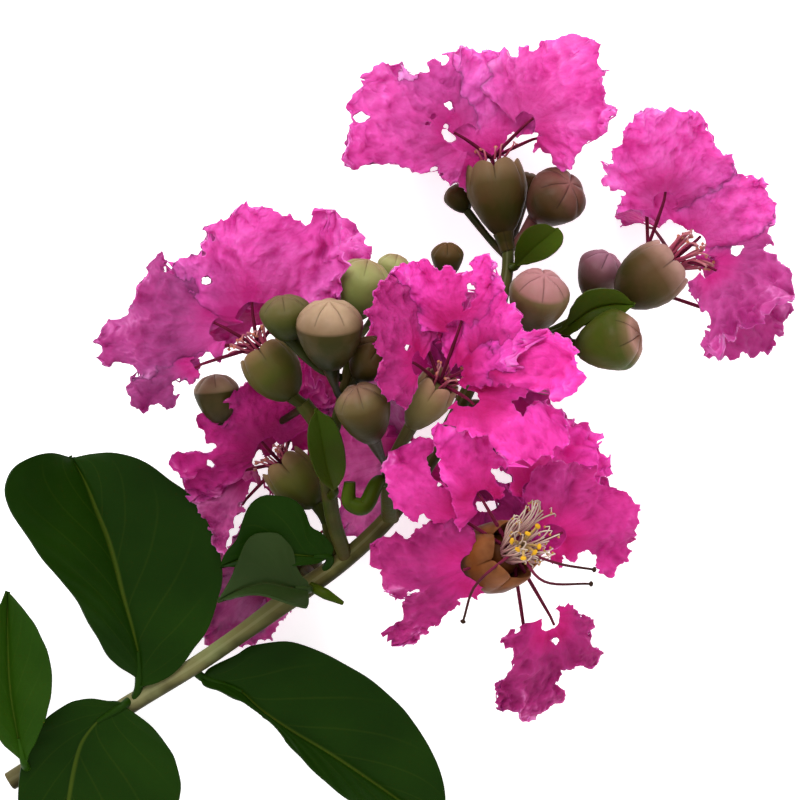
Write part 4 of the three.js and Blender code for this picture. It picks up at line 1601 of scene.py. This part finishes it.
FRONT_LEFT_OUTLINE = (
    (384, 461), (389, 453), (397, 448), (406, 448), (416, 440), (424, 437), (432, 443), (432, 451), (428, 461),
    (426, 464), (432, 473), (430, 480), (444, 484), (448, 489), (462, 500), (500, 520), (500, 560), (480, 545),
    (455, 530), (433, 521), (431, 515), (422, 515), (417, 521), (412, 518), (405, 515), (395, 508), (389, 496),
    (384, 480),
)
FRONT_LOW_OUTLINE = (
    (371, 549), (376, 542), (387, 537), (400, 535), (406, 540), (412, 539), (416, 529), (433, 521), (460, 520),
    (500, 545), (490, 580), (479, 598), (463, 593), (459, 602), (449, 611), (446, 618), (441, 626), (436, 622),
    (428, 626), (428, 634), (416, 634), (416, 644), (403, 645), (392, 644), (377, 633), (390, 630), (401, 621),
    (407, 599), (414, 597), (424, 588), (406, 593), (402, 601), (390, 593), (380, 580), (383, 565), (374, 569),
)
FRONT_TOP_OUTLINE = (
    (496, 444), (500, 420), (519, 417), (534, 406), (546, 398), (552, 403), (563, 412), (576, 413), (584, 419),
    (596, 427), (605, 439), (598, 444), (597, 453), (609, 458), (612, 466), (611, 473), (596, 480), (605, 486),
    (600, 510), (560, 530), (510, 560), (500, 540), (503, 512), (512, 500), (508, 478), (511, 464), (503, 457),
)
FRONT_RIGHT_OUTLINE = (
    (535, 470), (560, 460), (597, 470), (596, 480), (605, 486), (621, 490), (624, 497), (639, 502), (642, 512),
    (634, 530), (631, 547), (629, 560), (616, 567), (609, 573), (596, 572), (599, 560), (590, 549), (579, 553),
    (571, 560), (561, 552), (561, 565), (548, 563), (530, 568), (500, 560), (510, 520),
)
CENTRE_LOW_OUTLINE = (
    (440, 380), (459, 374), (480, 384), (497, 383), (509, 381), (517, 383), (525, 387), (530, 390), (528, 395),
    (520, 396), (516, 401), (516, 408), (519, 417), (532, 408), (546, 404), (558, 408), (566, 418), (563, 428),
    (570, 436), (566, 446), (556, 450), (552, 458), (542, 456), (534, 464), (524, 460), (511, 464), (504, 457),
    (496, 444), (486, 436), (478, 433), (471, 438), (464, 432), (458, 431), (448, 424), (450, 410), (440, 400),
)
HANGING_OUTLINE = (
    (509, 610), (512, 631), (518, 637), (526, 610), (535, 600), (551, 620), (553, 608), (561, 602), (573, 607),
    (577, 616), (595, 619), (595, 625), (588, 634), (592, 646), (602, 652), (590, 668), (577, 663), (564, 669),
    (556, 686), (564, 692), (567, 701), (559, 703), (544, 714), (538, 710), (538, 718), (532, 723), (519, 717),
    (515, 712), (497, 708), (501, 697), (496, 684), (512, 669), (514, 651), (504, 638), (500, 610),
)
UNDER_LEFT_OUTLINE = (
    (205, 590), (215, 560), (228, 548), (250, 512), (285, 503), (308, 530), (322, 550), (312, 578), (300, 596),
    (290, 612), (277, 628), (270, 640), (258, 636), (247, 648), (230, 640), (215, 650), (204, 640), (203, 612),
)
UNDER_MIDDLE_OUTLINE = (
    (330, 400), (345, 380), (372, 330), (400, 290), (450, 285), (500, 300), (520, 345), (562, 352), (562, 385),
    (548, 398), (560, 412), (588, 430), (596, 450), (603, 480), (622, 500), (625, 530), (600, 545), (560, 546),
    (530, 560), (480, 588), (455, 596), (410, 588), (386, 560), (378, 549), (398, 542), (413, 544), (420, 533),
    (437, 524), (460, 525), (440, 506), (400, 502), (391, 495), (380, 520), (370, 536), (356, 536), (345, 530),
    (340, 500), (336, 450),
)
HOLES = tuple(
    Outline(pixels, fringe=0.15)
    for pixels in (
        ((350, 117), (360, 111), (373, 118), (362, 124), (352, 121)),
        ((441, 105), (451, 100), (454, 106), (455, 114), (448, 110)),
        ((444, 123), (449, 124), (449, 132), (458, 137), (457, 141), (450, 143), (442, 140), (441, 133)),
        ((422, 135), (424, 124), (432, 113), (437, 112), (437, 118), (430, 124), (427, 133)),
        ((372, 126), (379, 125), (381, 129), (374, 132)),
        ((668, 217), (674, 224), (684, 226), (692, 233), (693, 240), (687, 247), (675, 240), (663, 238), (660, 229)),
        ((728, 245), (747, 244), (742, 251), (742, 256), (731, 257)),
        ((706, 255), (717, 256), (711, 262)),
        ((690, 253), (695, 247), (701, 249), (703, 256), (696, 254)),
        ((201, 277), (208, 275), (214, 282), (208, 286), (202, 285)),
        ((250, 460), (260, 448), (266, 457), (272, 464), (265, 472), (264, 482), (258, 471)),
        ((289, 451), (308, 449), (309, 462), (300, 458), (293, 458)),
        ((205, 459), (211, 458), (215, 464), (214, 469), (207, 466)),
        ((476, 501), (500, 501), (500, 507), (495, 511), (478, 513)),
        ((487, 468), (500, 470), (513, 475), (513, 484), (504, 485), (495, 480)),
        ((432, 481), (441, 483), (447, 489), (438, 486)),
        ((402, 344), (408, 344), (412, 349), (404, 352)),
        ((548, 639), (555, 636), (561, 640), (556, 647), (552, 643)),
    )
)

# The third number of a blade is its painted shading share.
BLOOMS = (
    Bloom(
        "top", (15.2, 20.9, 21.3), (14.6, 23, 21), (13.2, 32.4, 20), 4.1, (0, 0.35, 0.94),
        (
            Blade((0.2, 36.6, 17.8), 16, 0.62),
            Blade((3.4, 40.6, 23.6), 16, 0.34),
            Blade((11.6, 39.4, 20.6), 16.5),
            Blade((21.4, 42.4, 27), 14, 0.15),
            Blade((22.8, 38.6, 18), 11, 0.2),
            Blade((5.6, 36.4, 6.7), 12, 0.5),
        ),
        LILAC_PETAL, outlines=(TOP_OUTLINE,), drop=0.4, sepals=0.6, taper=0.5, stalk_radii=(1.1, 1.2, 1.5),
    ),
    Bloom(
        "right", (29, 13.7, 23.8), (31.4, 14.6, 23.2), (37.2, 18.8, 22), 4.2, (0.45, 0.25, 0.85),
        (
            Blade((34.4, 33.2, 19), 12, 0.1, (34.8, 21.2, 21)),
            Blade((38.8, 33.2, 27.6), 14, 0.0, (34.8, 21.6, 22)),
            Blade((45.6, 25.8, 23), 13, 0.1),
            Blade((47.6, 17.6, 27), 11.5, 0.68),
            Blade((48.8, 10.8, 18), 12, 0.74, (37.6, 14.6, 20.6)),
            Blade((34.6, 26.2, 5.9), 10.5, 0.6),
        ),
        LILAC_PETAL, BLUSH_CALYX, outlines=(RIGHT_OUTLINE,), drop=0.25, sepals=0.3,
    ),
    Bloom(
        "left", (-12.9, -0.8, 33.4), (-15, 0.4, 34), (-19, 6.2, 33.4), 3.7, (-0.25, 0.35, 0.9),
        (
            Blade((-34.8, 8, 31), 15.5, 1.0),
            Blade((-30.2, 13.4, 36), 15, 0.78),
            Blade((-21.4, 18.4, 38.4), 16, 0.2),
            Blade((-12, 18, 31), 17, 0.15),
            Blade((-32, 3.6, 37), 11, 0.9),
            Blade((-19, 13.4, 26.4), 12, 0.4),
        ),
        LILAC_PETAL, GREEN_CALYX, outlines=(LEFT_OUTLINE,), drop=0.25, sepals=0.2,
    ),
    Bloom(
        "lower_left", (-10.2, -17.4, 17.5), (-11.2, -15.2, 18.2), (-15.8, -9.9, 17.8), 3.5, (-0.3, 0.2, 0.93),
        (
            Blade((-21.8, -3.4, 25), 13.5),
            Blade((-16.4, -2.6, 14), 10.5),
            Blade((-26.6, -10.8, 17), 11, 0.35),
            Blade((-25, -17.4, 15), 11, 0.45),
            Blade((-20, -14, 11), 11, 0.3),
            Blade((-12.2, 3.6, 20), 13, 0.2),
        ),
        SHADED_PETAL, GREEN_CALYX, outlines=(LOWER_LEFT_OUTLINE,), sepals=0.7,
    ),
    Bloom(
        "centre", (-1.4, -9, 31), (0, -6, 33.8), (5, 1.6, 39.6), 2.9, (0.2, 0.3, 0.93),
        (
            Blade((1.4, 13.8, 41), 13, 0.2),
            Blade((9.8, 14.4, 45), 11.5, 0.12),
            Blade((-0.4, 7, 48), 11, 0.8),
            Blade((15.6, 7.2, 48), 13, 0.12),
            Blade((20.4, 2.6, 43), 11.5, 0.2),
            Blade((13, -2, 46.6), 12, 0.08),
            Blade((10.6, 4.8, 45), 9, 0.1),
        ),
        HOT_PETAL, TAN_CALYX, outlines=(CENTRE_OUTLINE, CENTRE_LOW_OUTLINE), stretch=1.4, sepals=0.7, taper=0.4,
        long=1.3,
    ),
    Bloom(
        "front", (7.6, -21.4, 32.2), (9.4, -23.4, 34.4), (14.4, -21.4, 40.5), 4.7, (0.35, -0.1, 0.93),
        (
            Blade((4.0, -25.6, 42.2), 15, 0.95),
            Blade((3.6, -13.3, 43), 15.6, 0.5),
            Blade((8.8, -9.4, 45), 12, 0.15),
            Blade((20.4, -7.6, 38), 13.5),
            Blade((27.2, -16.8, 40), 14, 0.7),
            Blade((18.4, -39.6, 32), 11, 0.95),
            Blade((23.4, -34.4, 36), 11, 0.95),
        ),
        HOT_PETAL, GOLD_CALYX, stretch=1.6,
        outlines=(
            HANGING_OUTLINE, FRONT_LOW_OUTLINE, FRONT_LEFT_OUTLINE, FRONT_MIDDLE_OUTLINE, FRONT_TOP_OUTLINE,
            FRONT_RIGHT_OUTLINE,
        ),
    ),
    Bloom(
        "under_left", (-12, -25.6, 16.2), (-13, -24.2, 13), (-15, -22.8, 7), 3.3, (0, 0, -1),
        (
            Blade((-22.6, -29.2, 5.2), 12, 0.8),
            Blade((-26, -24.4, 2.6), 11, 0.8),
            Blade((-23.6, -17.6, 2.6), 11, 0.4),
            Blade((-16, -13.6, 2.6), 11),
            Blade((-8, -16, 2.6), 11),
            Blade((-19.6, -31, 2), 8.5, 0.8),
        ),
        SHADED_PETAL, lie=Lie.UNDER, outlines=(UNDER_LEFT_OUTLINE,),
    ),
    Bloom(
        "under_middle", (8.4, -1.2, 24.2), (9.6, -2.4, 20.6), (11, -4, 13), 3.6, (0.1, 0, -1),
        (
            Blade((3.6, 6.8, 9), 13),
            Blade((15.6, 8, 8), 12.5),
            Blade((19.4, -2.4, 8), 12),
            Blade((19, -14, 6.6), 13),
            Blade((8, -17, 6), 13),
            Blade((-4.4, -9.6, 8.4), 14, 1.0),
        ),
        SHADED_PETAL, lie=Lie.UNDER, outlines=(UNDER_MIDDLE_OUTLINE,),
    ),
)


@dataclass(frozen=True)
class Anther:
    """The pollen sac at the end of a stamen, in two lobes."""

    radius: float

    PROFILE = ((0, -1), (0.5, -0.8), (0.85, -0.35), (0.9, 0.1), (0.7, 0.6), (0.35, 0.9), (0, 1))
    LOBES = 0.25
    HEIGHT = 0.9

    def shape(self, radius: float, height: float, turn: float) -> Spot:
        """Splits the sac into its two lobes."""
        wide = radius * (1 + self.LOBES * math.cos(2 * turn)) * self.radius
        return Spot(spoke(turn, wide, height * self.radius * self.HEIGHT), 1.0, 1.0, 0.7)

    def add(self, piece: Piece, end: Vector, way: Vector, sides: int = 12) -> None:
        """Puts the sac on the end of a thread that points along a direction."""
        piece.turned(self.PROFILE, sides, Stand(end, way), self.shape)


@dataclass(frozen=True)
class Tuft:
    """The crumpled tuft of thin stamens that stands in a bloom.

    Attributes:
        bloom: The bloom's name.
        count: How many threads there are.
        reach: How far they stand out of the calyx.
        lean: Where they lean to.
        spread: How far they spread sideways.
        radius: How thick they are.
        anther: How large their pollen sacs are.
        finish: What they are made of.
    """

    bloom: str
    count: int = 16
    reach: float = 4.6
    lean: Vec = (0, 0, 0)
    spread: float = 2.4
    radius: float = 0.14
    anther: Anther = Anther(0.24)
    finish: Finish = PINK_THREAD

    GOLDEN_TURN = 2.4
    GOLDEN_SHARE = 0.618
    FOOT = 0.3
    RING = 0.35
    STRAY = 0.9
    BOW = 0.55
    BOW_LIFT = 0.16
    BOW_STRAY = 1.4
    HOOK = 0.6
    HOOK_BACK = 0.2
    TAPER = (1.3, 1, 0.7)

    def thread(self, index: int, bloom: Bloom) -> tuple[Vector, Vector, Vector, Vector]:
        """The start, the bow, the bend and the hooked end of one thread.

        Args:
            index: Which thread it is.
            bloom: The flower that it stands in.

        Returns:
            The four points of its line.
        """
        side = bloom.axis.orthogonal().normalized()
        turn = self.GOLDEN_TURN * index
        away = side * math.cos(turn) + bloom.axis.cross(side) * math.sin(turn)
        chance = noise.noise_vector(Vector((index * 1.7, len(self.bloom), 4.3)))
        start = Vector(bloom.rim) + bloom.axis * (self.FOOT * bloom.radius) + away * (self.RING * bloom.radius)
        far = 0.45 + 0.55 * ((index * self.GOLDEN_SHARE) % 1)
        end = start + bloom.axis * (self.reach * (0.75 + 0.5 * chance.x)) + away * (self.spread * far)
        end += Vector(self.lean) * far + chance * self.STRAY
        bow = start.lerp(end, self.BOW) + bloom.axis * (self.BOW_LIFT * self.reach) + chance.yzx * self.BOW_STRAY
        hook = end + (end - bow).cross(chance) * self.HOOK - (end - bow) * self.HOOK_BACK
        return start, bow, end, hook

    def build(self, site: Site, bloom: Bloom) -> None:
        """Makes the threads and their sacs in a flower.

        Args:
            site: Where the picture's frame stands.
            bloom: The flower that they stand in.
        """
        piece = Piece(f"{self.bloom}_flower_tuft", site)
        radii = [share * self.radius for share in self.TAPER]
        for index in range(self.count):
            points = self.thread(index, bloom)
            piece.tube(Path(points), radii, 6, 12, (0.1, 0.85))
            self.anther.add(piece, points[-1], points[-1] - points[-2], 8)
        piece.show(self.finish, Slot.STAMEN)


TUFTS = (
    Tuft("front", 48, 4.0, (2.4, 2.2, 0.2), 2.8, 0.12, Anther(0.17), PALE_THREAD),
    Tuft("right", 28, 3.8, (1.4, 0.2, 0.6), 2.4, 0.17),
    Tuft("left", 16, 3.2, (-0.8, -0.6, 0.8)),
    Tuft("top", 8, 2.0, (0, 0, -1.2), 1.6),
    Tuft("lower_left", 14, 3.2, (-0.6, -0.6, 0.6)),
    Tuft("centre", 8, 3.0, (0.4, 0.2, 0.2), 1.6),
)


@dataclass(frozen=True)
class Stamens:
    """The gold stamens and the long dark ones of the bloom that opens to the camera.

    Attributes:
        bloom: The bloom's name.
        radius: How thick the threads are.
        anther: How large the pollen sacs of the gold ones are.
        long_anther: How large those of the dark ones are.
        short: Where the gold ones end.
        long: Where the dark ones bend and where they end.
    """

    bloom: str = "front"
    radius: float = 0.24
    anther: Anther = Anther(0.4)
    long_anther: Anther = Anther(0.36)
    short: tuple[Vec, ...] = (
        (15.4, -19.4, 48.2), (17.6, -18.4, 48), (19.2, -20.2, 47.6), (17, -21.8, 49), (19, -17.4, 46.4),
        (16.2, -20.6, 48.6), (18.6, -21, 47.8),
    )
    long: tuple[tuple[Vec, Vec], ...] = (
        ((19.8, -25, 46), (26.4, -25.4, 45)),
        ((22, -22.6, 47.5), (26.8, -23.4, 47)),
        ((10.4, -25.6, 46.5), (8.7, -30.6, 45)),
    )

    BOW = Vector((0.3, 0.4, 0.6))
    COLUMN = (1.1, 0.9)

    def build(self, site: Site, bloom: Bloom) -> None:
        """Makes the short gold stamens and the long dark ones in a flower.

        Args:
            site: Where the picture's frame stands.
            bloom: The flower that they stand in.
        """
        heart = Vector(bloom.rim)
        top = heart + bloom.axis * (0.95 * bloom.radius)
        start = heart.lerp(top, 0.7)
        tip = 0.7 * self.radius
        gold = Piece("front_flower_stamens", site)
        gold.tube(Path((heart, top)), self.COLUMN, 12, 4, (0.0, 0.2))
        for end in map(Vector, self.short):
            bow = start.lerp(end, 0.5) + self.BOW
            gold.tube(Path((start, bow, end)), (1.2 * self.radius, tip), 8, 10, (0.2, 0.8))
            self.anther.add(gold, end, end - bow)
        gold.show(GOLD_THREAD, Slot.STAMEN, "stamens_front")
        dark = Piece("front_flower_long_stamens", site)
        for bend, end in self.long:
            dark.tube(Path((start, bend, end)), (self.radius, tip), 8, 14)
            self.long_anther.add(dark, Vector(end), Vector(end) - Vector(bend))
        dark.show(DARK_THREAD, Slot.STAMEN, "stamens_front")


@dataclass(frozen=True)
class Edge:
    """One edge of a leaf: the pixels between its base and its tip, and how steeply its half folds up, in degrees."""

    pixels: Pixels
    fold: float


@dataclass(frozen=True)
class Leaf:
    """A leaf: a veined blade between its two edges, folded along its midrib, on a short petiole.

    Attributes:
        name: The solid that it stands for.
        petiole: Where its petiole leaves the stem.
        heights: How high its base and its tip lie.
        arch: How far its midrib rises between them.
        midrib: The pixels that its midrib goes through.
        left: Its edge on one side.
        right: Its edge on the other side.
        finish: What it is made of.
        slot: The record's slot for that.
        thickness: How thick it is.
    """

    name: str
    petiole: Vec
    heights: tuple[float, float]
    arch: float
    midrib: Pixels
    left: Edge
    right: Edge
    finish: Finish = DARK_LEAF
    slot: Slot = Slot.LEAF
    thickness: float = 0.35

    RIB_WIDTH = 0.06
    RIB_DEPTH = 0.25
    QUILT = 0.0035
    WAVE = 0.012
    SHADE_SCALE = 0.12
    LARGE = 25
    STEPS = 48
    LARGE_STEPS = 80
    PETIOLE = (0.65, 0.6, 0.35)

    def length(self) -> float:
        """How long its midrib is on the picture, from base to tip."""
        return (on_picture(self.midrib[-1]) - on_picture(self.midrib[0])).length

    def rule(self) -> Rule:
        """The rule that makes the blade.

        Returns:
            What gives each place across and along its point and its shade.
        """
        base, *_, tip = self.midrib
        middle, left, right = (
            Path([on_picture(pixel) for pixel in pixels])
            for pixels in (self.midrib, (base, *self.left.pixels, tip), (base, *self.right.pixels, tip))
        )
        length = self.length()

        def rule(across: float, share: float) -> tuple[Vector, float]:
            """Puts one place of the blade.

            Args:
                across: The place across, from -1 to 1.
                share: The place along, from 0 to 1.

            Returns:
                The point and its shade.
            """
            out = 0.5 - 0.5 * math.cos(math.pi * share)
            edge, fold = (left, self.left.fold) if across < 0 else (right, self.right.fold)
            off = abs(across)
            point = middle.at(out)
            span = edge.at(out) - point
            point += span * off
            bulge = math.sin(math.pi * out)
            rise = span.length * off * math.tan(math.radians(fold))
            rib = math.exp(-((across / self.RIB_WIDTH) ** 2)) * self.RIB_DEPTH
            quilt = self.QUILT * length * math.sin(2 * math.pi * VeinedFinish.vein(out, off)) * bulge * off
            wave = self.WAVE * length * math.sin(9 * out + 2 * across) * off * off
            point.z = read(self.heights, out) + self.arch * bulge + rise - rib + quilt + wave
            return point, 0.5 + 0.5 * noise.noise(point * self.SHADE_SCALE)

        return rule

    def build(self, site: Site) -> None:
        """Makes the blade and its petiole.

        Args:
            site: Where the picture's frame stands.
        """
        blade = Piece(f"{self.name}_blade", site)
        rule = self.rule()
        steps = self.LARGE_STEPS if self.length() > self.LARGE else self.STEPS
        blade.sheet((steps, steps), self.thickness, rule)
        start, inside = rule(0, 0)[0], rule(0, 0.25)[0]
        blade.tube(Path((self.petiole, start, inside)), self.PETIOLE, 12, 12, (0.0, 0.0))
        blade.show(self.finish, self.slot, self.name)


LEAVES = (
    Leaf(
        "leaf_left", (-37.6, -42.4, 7.4), (8.8, 15), 1.5,
        ((136, 689), (137, 665), (131, 636), (120, 596), (113, 566), (105, 538), (94, 510), (84, 485), (70, 458)),
        Edge((
            (133, 681), (116, 669), (106, 658), (95, 638), (85, 619), (71, 593), (53, 572), (36, 549), (22, 527),
            (10, 508), (6, 488), (14, 468), (34, 456), (51, 453),
        ), 40),
        Edge((
            (151, 687), (169, 678), (183, 664), (192, 651), (203, 637), (210, 622), (216, 603), (221, 580),
            (220, 563), (216, 544), (204, 519), (189, 496), (169, 481), (141, 461), (113, 453), (90, 454),
        ), 8),
    ),
    Leaf(
        "leaf_lower_left", (-38.4, -42.6, 7.2), (8.6, 0.8), 1.2,
        ((120, 709), (99, 721), (85, 735), (75, 752), (66, 790), (60, 840), (57, 897)),
        Edge(((131, 716), (147, 728), (161, 744), (173, 765), (178, 795), (165, 835), (125, 875)), 6),
        Edge((
            (113, 705), (105, 704), (89, 702), (68, 705), (50, 716), (42, 722), (30, 735), (21, 756), (14, 790),
            (16, 830), (30, 870),
        ), 8),
    ),
    Leaf(
        "leaf_far_left", (-52.6, -52.4, 3.4), (9, 11), 1,
        ((20, 767), (12, 730), (6, 690), (4, 640), (4, 593)),
        Edge(((-2, 745), (-18, 712), (-24, 680), (-20, 645), (-10, 618)), 40),
        Edge(((32, 745), (42, 721), (48, 693), (48, 674), (44, 654), (37, 638), (30, 624), (21, 612), (12, 601)), 30),
        PALE_LEAF,
    ),
    Leaf(
        "leaf_lower_right", (-29.4, -37.8, 10), (9.4, 0.8), 2,
        ((200, 680), (235, 692), (260, 714), (287, 733), (333, 761), (390, 800), (443, 838)),
        Edge((
            (207, 671), (235, 657), (250, 648), (293, 645), (344, 667), (379, 690), (410, 721), (436, 764), (446, 800),
        ), 8),
        Edge(((203, 687), (221, 695), (250, 711), (270, 727), (304, 764), (345, 800), (395, 830)), 45),
    ),
    Leaf(
        "leaf_behind_stem", (-11.2, -25, 16.6), (19.6, 21.5), 0.8,
        ((330, 558), (300, 556), (265, 553), (219, 567)),
        Edge(((317, 564), (297, 566), (260, 568)), 10),
        Edge((
            (333, 548), (321, 533), (311, 527), (306, 514), (300, 505), (289, 498), (274, 496), (263, 496),
            (252, 503), (246, 512), (241, 525), (236, 540), (225, 553),
        ), 10),
    ),
    Leaf(
        "leaf_curled", (-13.2, -26.6, 15.8), (19.4, 24.4), 0.8,
        ((308, 590), (290, 588), (265, 584), (240, 590), (217, 601)),
        Edge(((308, 606), (298, 605), (280, 599), (263, 594), (247, 594), (232, 598)), 50),
        Edge((
            (308, 583), (302, 577), (296, 566), (293, 551), (287, 542), (278, 534), (265, 533), (254, 535),
            (247, 542), (241, 555), (232, 575), (224, 590),
        ), 8),
        GREY_LEAF,
    ),
    Leaf(
        "bract_left", (-9.6, -13.4, 28.4), (31, 38), 0.6,
        ((335, 490), (328, 470), (323, 445), (320, 425), (317, 410)),
        Edge(((321, 480), (312, 462), (308, 440), (310, 422)), 30),
        Edge(((345, 474), (346, 455), (342, 436), (334, 419)), 30),
        FRESH_BRACT, Slot.BRACT,
    ),
    Leaf(
        "bract_right", (21.2, 9.2, 25.4), (27, 27), 0.6,
        ((557, 333), (574, 322), (592, 310), (612, 305), (634, 305)),
        Edge(((566, 320), (572, 306), (585, 293), (602, 289), (620, 292)), 20),
        Edge(((568, 335), (590, 321), (604, 316), (622, 314)), 30),
        FRESH_BRACT, Slot.BRACT,
    ),
    Leaf(
        "bract_top", (15.6, 18.6, 22.2), (24.4, 26.8), 0.5,
        ((516, 266), (526, 256), (540, 243), (557, 230)),
        Edge(((515, 250), (520, 236), (530, 227), (545, 224)), 20),
        Edge(((530, 264), (548, 258), (561, 246), (563, 235)), 30),
        FRESH_BRACT, Slot.BRACT,
    ),
)


@dataclass(frozen=True)
class NarrowBract:
    """A bract no wider than a thick thread."""

    name: str
    path: tuple[Vec, ...]
    radii: tuple[float, ...]

    def build(self, site: Site) -> None:
        """Makes the bract."""
        piece = Piece(f"{self.name}_scale", site)
        piece.tube(Path(self.path), self.radii, 14, 8 * len(self.path))
        piece.show(FRESH_BRACT, Slot.BRACT, self.name)


NARROW_BRACTS = (
    NarrowBract(
        "bract_hook",
        ((-1.8, -11.4, 27.6), (-3.2, -11.6, 30.6), (-5, -14.8, 31.4), (-7, -14.2, 31.4), (-7, -11.4, 31.8)),
        (0.7, 1.1, 1.25, 0.8),
    ),
    NarrowBract("bract_node", ((-12.6, -26.2, 17.4), (-10.6, -27.2, 18.6), (-8, -28.6, 18)), (0.7, 0.8, 0.3)),
)


@dataclass(frozen=True)
class Studio:
    """The pale table, the soft lights and the camera that looks straight down.

    Attributes:
        table_side: How wide the table is, in metres.
        table_greys: The two greys of its paper.
        table_glow: How brightly it shines by itself.
        sky: How bright the white sky is.
        key_power: How strong the key light is, in watts.
        key_side: How wide it is, in metres.
        key_at: Where it hangs over the shoot's middle, in metres.
        sensor: How wide the camera's sensor is, in millimetres.
        far: How far the camera sees, in metres.
    """

    table_side: float = 6.0
    table_greys: tuple[float, float] = (0.92, 0.94)
    table_glow: float = 0.62
    sky: float = 1.12
    key_power: float = 4.4
    key_side: float = 0.45
    key_at: Vec = (-0.12, 0.5, 0.62)
    sensor: float = 36.0
    far: float = 10.0

    WHITE = (1, 1, 1, 1)

    def build(self, site: Site) -> None:
        """Sets up the table, the lights and the camera.

        Args:
            site: Where the picture's frame stands.
        """
        bpy.context.scene.view_settings.view_transform = "Standard"
        middle = site.move(ZENITH * LENS.plane)
        self.table()
        self.lights(middle)
        self.camera(middle)

    def table(self) -> None:
        """Lays the pale table that the shoot lies on."""
        mesh = bmesh.new()
        bmesh.ops.create_grid(mesh, x_segments=4, y_segments=4, size=self.table_side / 2)
        data = bpy.data.meshes.new("table_top")
        mesh.to_mesh(data)
        mesh.free()
        top = bpy.data.objects.new("table_top", data)
        bpy.context.scene.collection.objects.link(top)
        shader = Shader("table_paper")
        low, high = ((grey, grey, grey, 1) for grey in self.table_greys)
        inputs = {
            "Base Color": shader.ramp(shader.cloud(Scale=400), ((0.3, low), (0.7, high))),
            "Roughness": 0.9,
            "Emission Color": self.WHITE,
            "Emission Strength": self.table_glow,
        }
        shader.fill(shader.surface, inputs)
        data.materials.append(shader.made)
        top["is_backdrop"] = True

    def lights(self, middle: Vector) -> None:
        """Hangs the key light over the shoot's middle and puts a white sky about it.

        Args:
            middle: The shoot's middle, in metres.
        """
        scene = bpy.context.scene
        scene.world = bpy.data.worlds.new("soft_sky")
        scene.world.use_nodes = True
        sky = Nodes(scene.world.node_tree)
        sky.fill(sky.tree.nodes["Background"], {"Color": self.WHITE, "Strength": self.sky})
        lamp = bpy.data.lights.new("key_light", "AREA")
        lamp.energy, lamp.size = self.key_power, self.key_side
        key = bpy.data.objects.new("key_light", lamp)
        key.location = middle + Vector(self.key_at)
        key.rotation_euler = Vector(self.key_at).to_track_quat("Z", "Y").to_euler()
        scene.collection.objects.link(key)

    def camera(self, middle: Vector) -> None:
        """Puts the camera straight above the shoot's middle, where it sees the whole picture.

        Args:
            middle: The shoot's middle, in metres.
        """
        scene = bpy.context.scene
        lens = bpy.data.cameras.new("camera")
        lens.sensor_width, lens.clip_end = self.sensor, self.far
        lens.lens = self.sensor * LENS.height / (PICTURE_SIDE * PICTURE_SCALE)
        camera = bpy.data.objects.new("camera", lens)
        camera.location = middle + ZENITH * (LENS.height * MM)
        scene.collection.objects.link(camera)
        scene.camera = camera


def corners() -> list[list[float]]:
    """The lowest and highest corner of what shows, as plain lists."""
    return [list(corner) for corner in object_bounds()]


def main() -> None:
    """Sets up the studio and builds the shoot piece by piece."""
    logging.basicConfig(level=logging.INFO, format="%(name)s %(message)s")
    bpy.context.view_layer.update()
    site = Site(frame["record"])
    Studio().build(site)
    for maker in (*LIMBS, *BUDS, *BLOOMS, *LEAVES, *NARROW_BRACTS):
        maker.build(site)
    blooms = {bloom.name: bloom for bloom in BLOOMS}
    for maker in (Stamens(), *TUFTS):
        maker.build(site, blooms[maker.bloom])


if __name__ == "__main__":
    main()
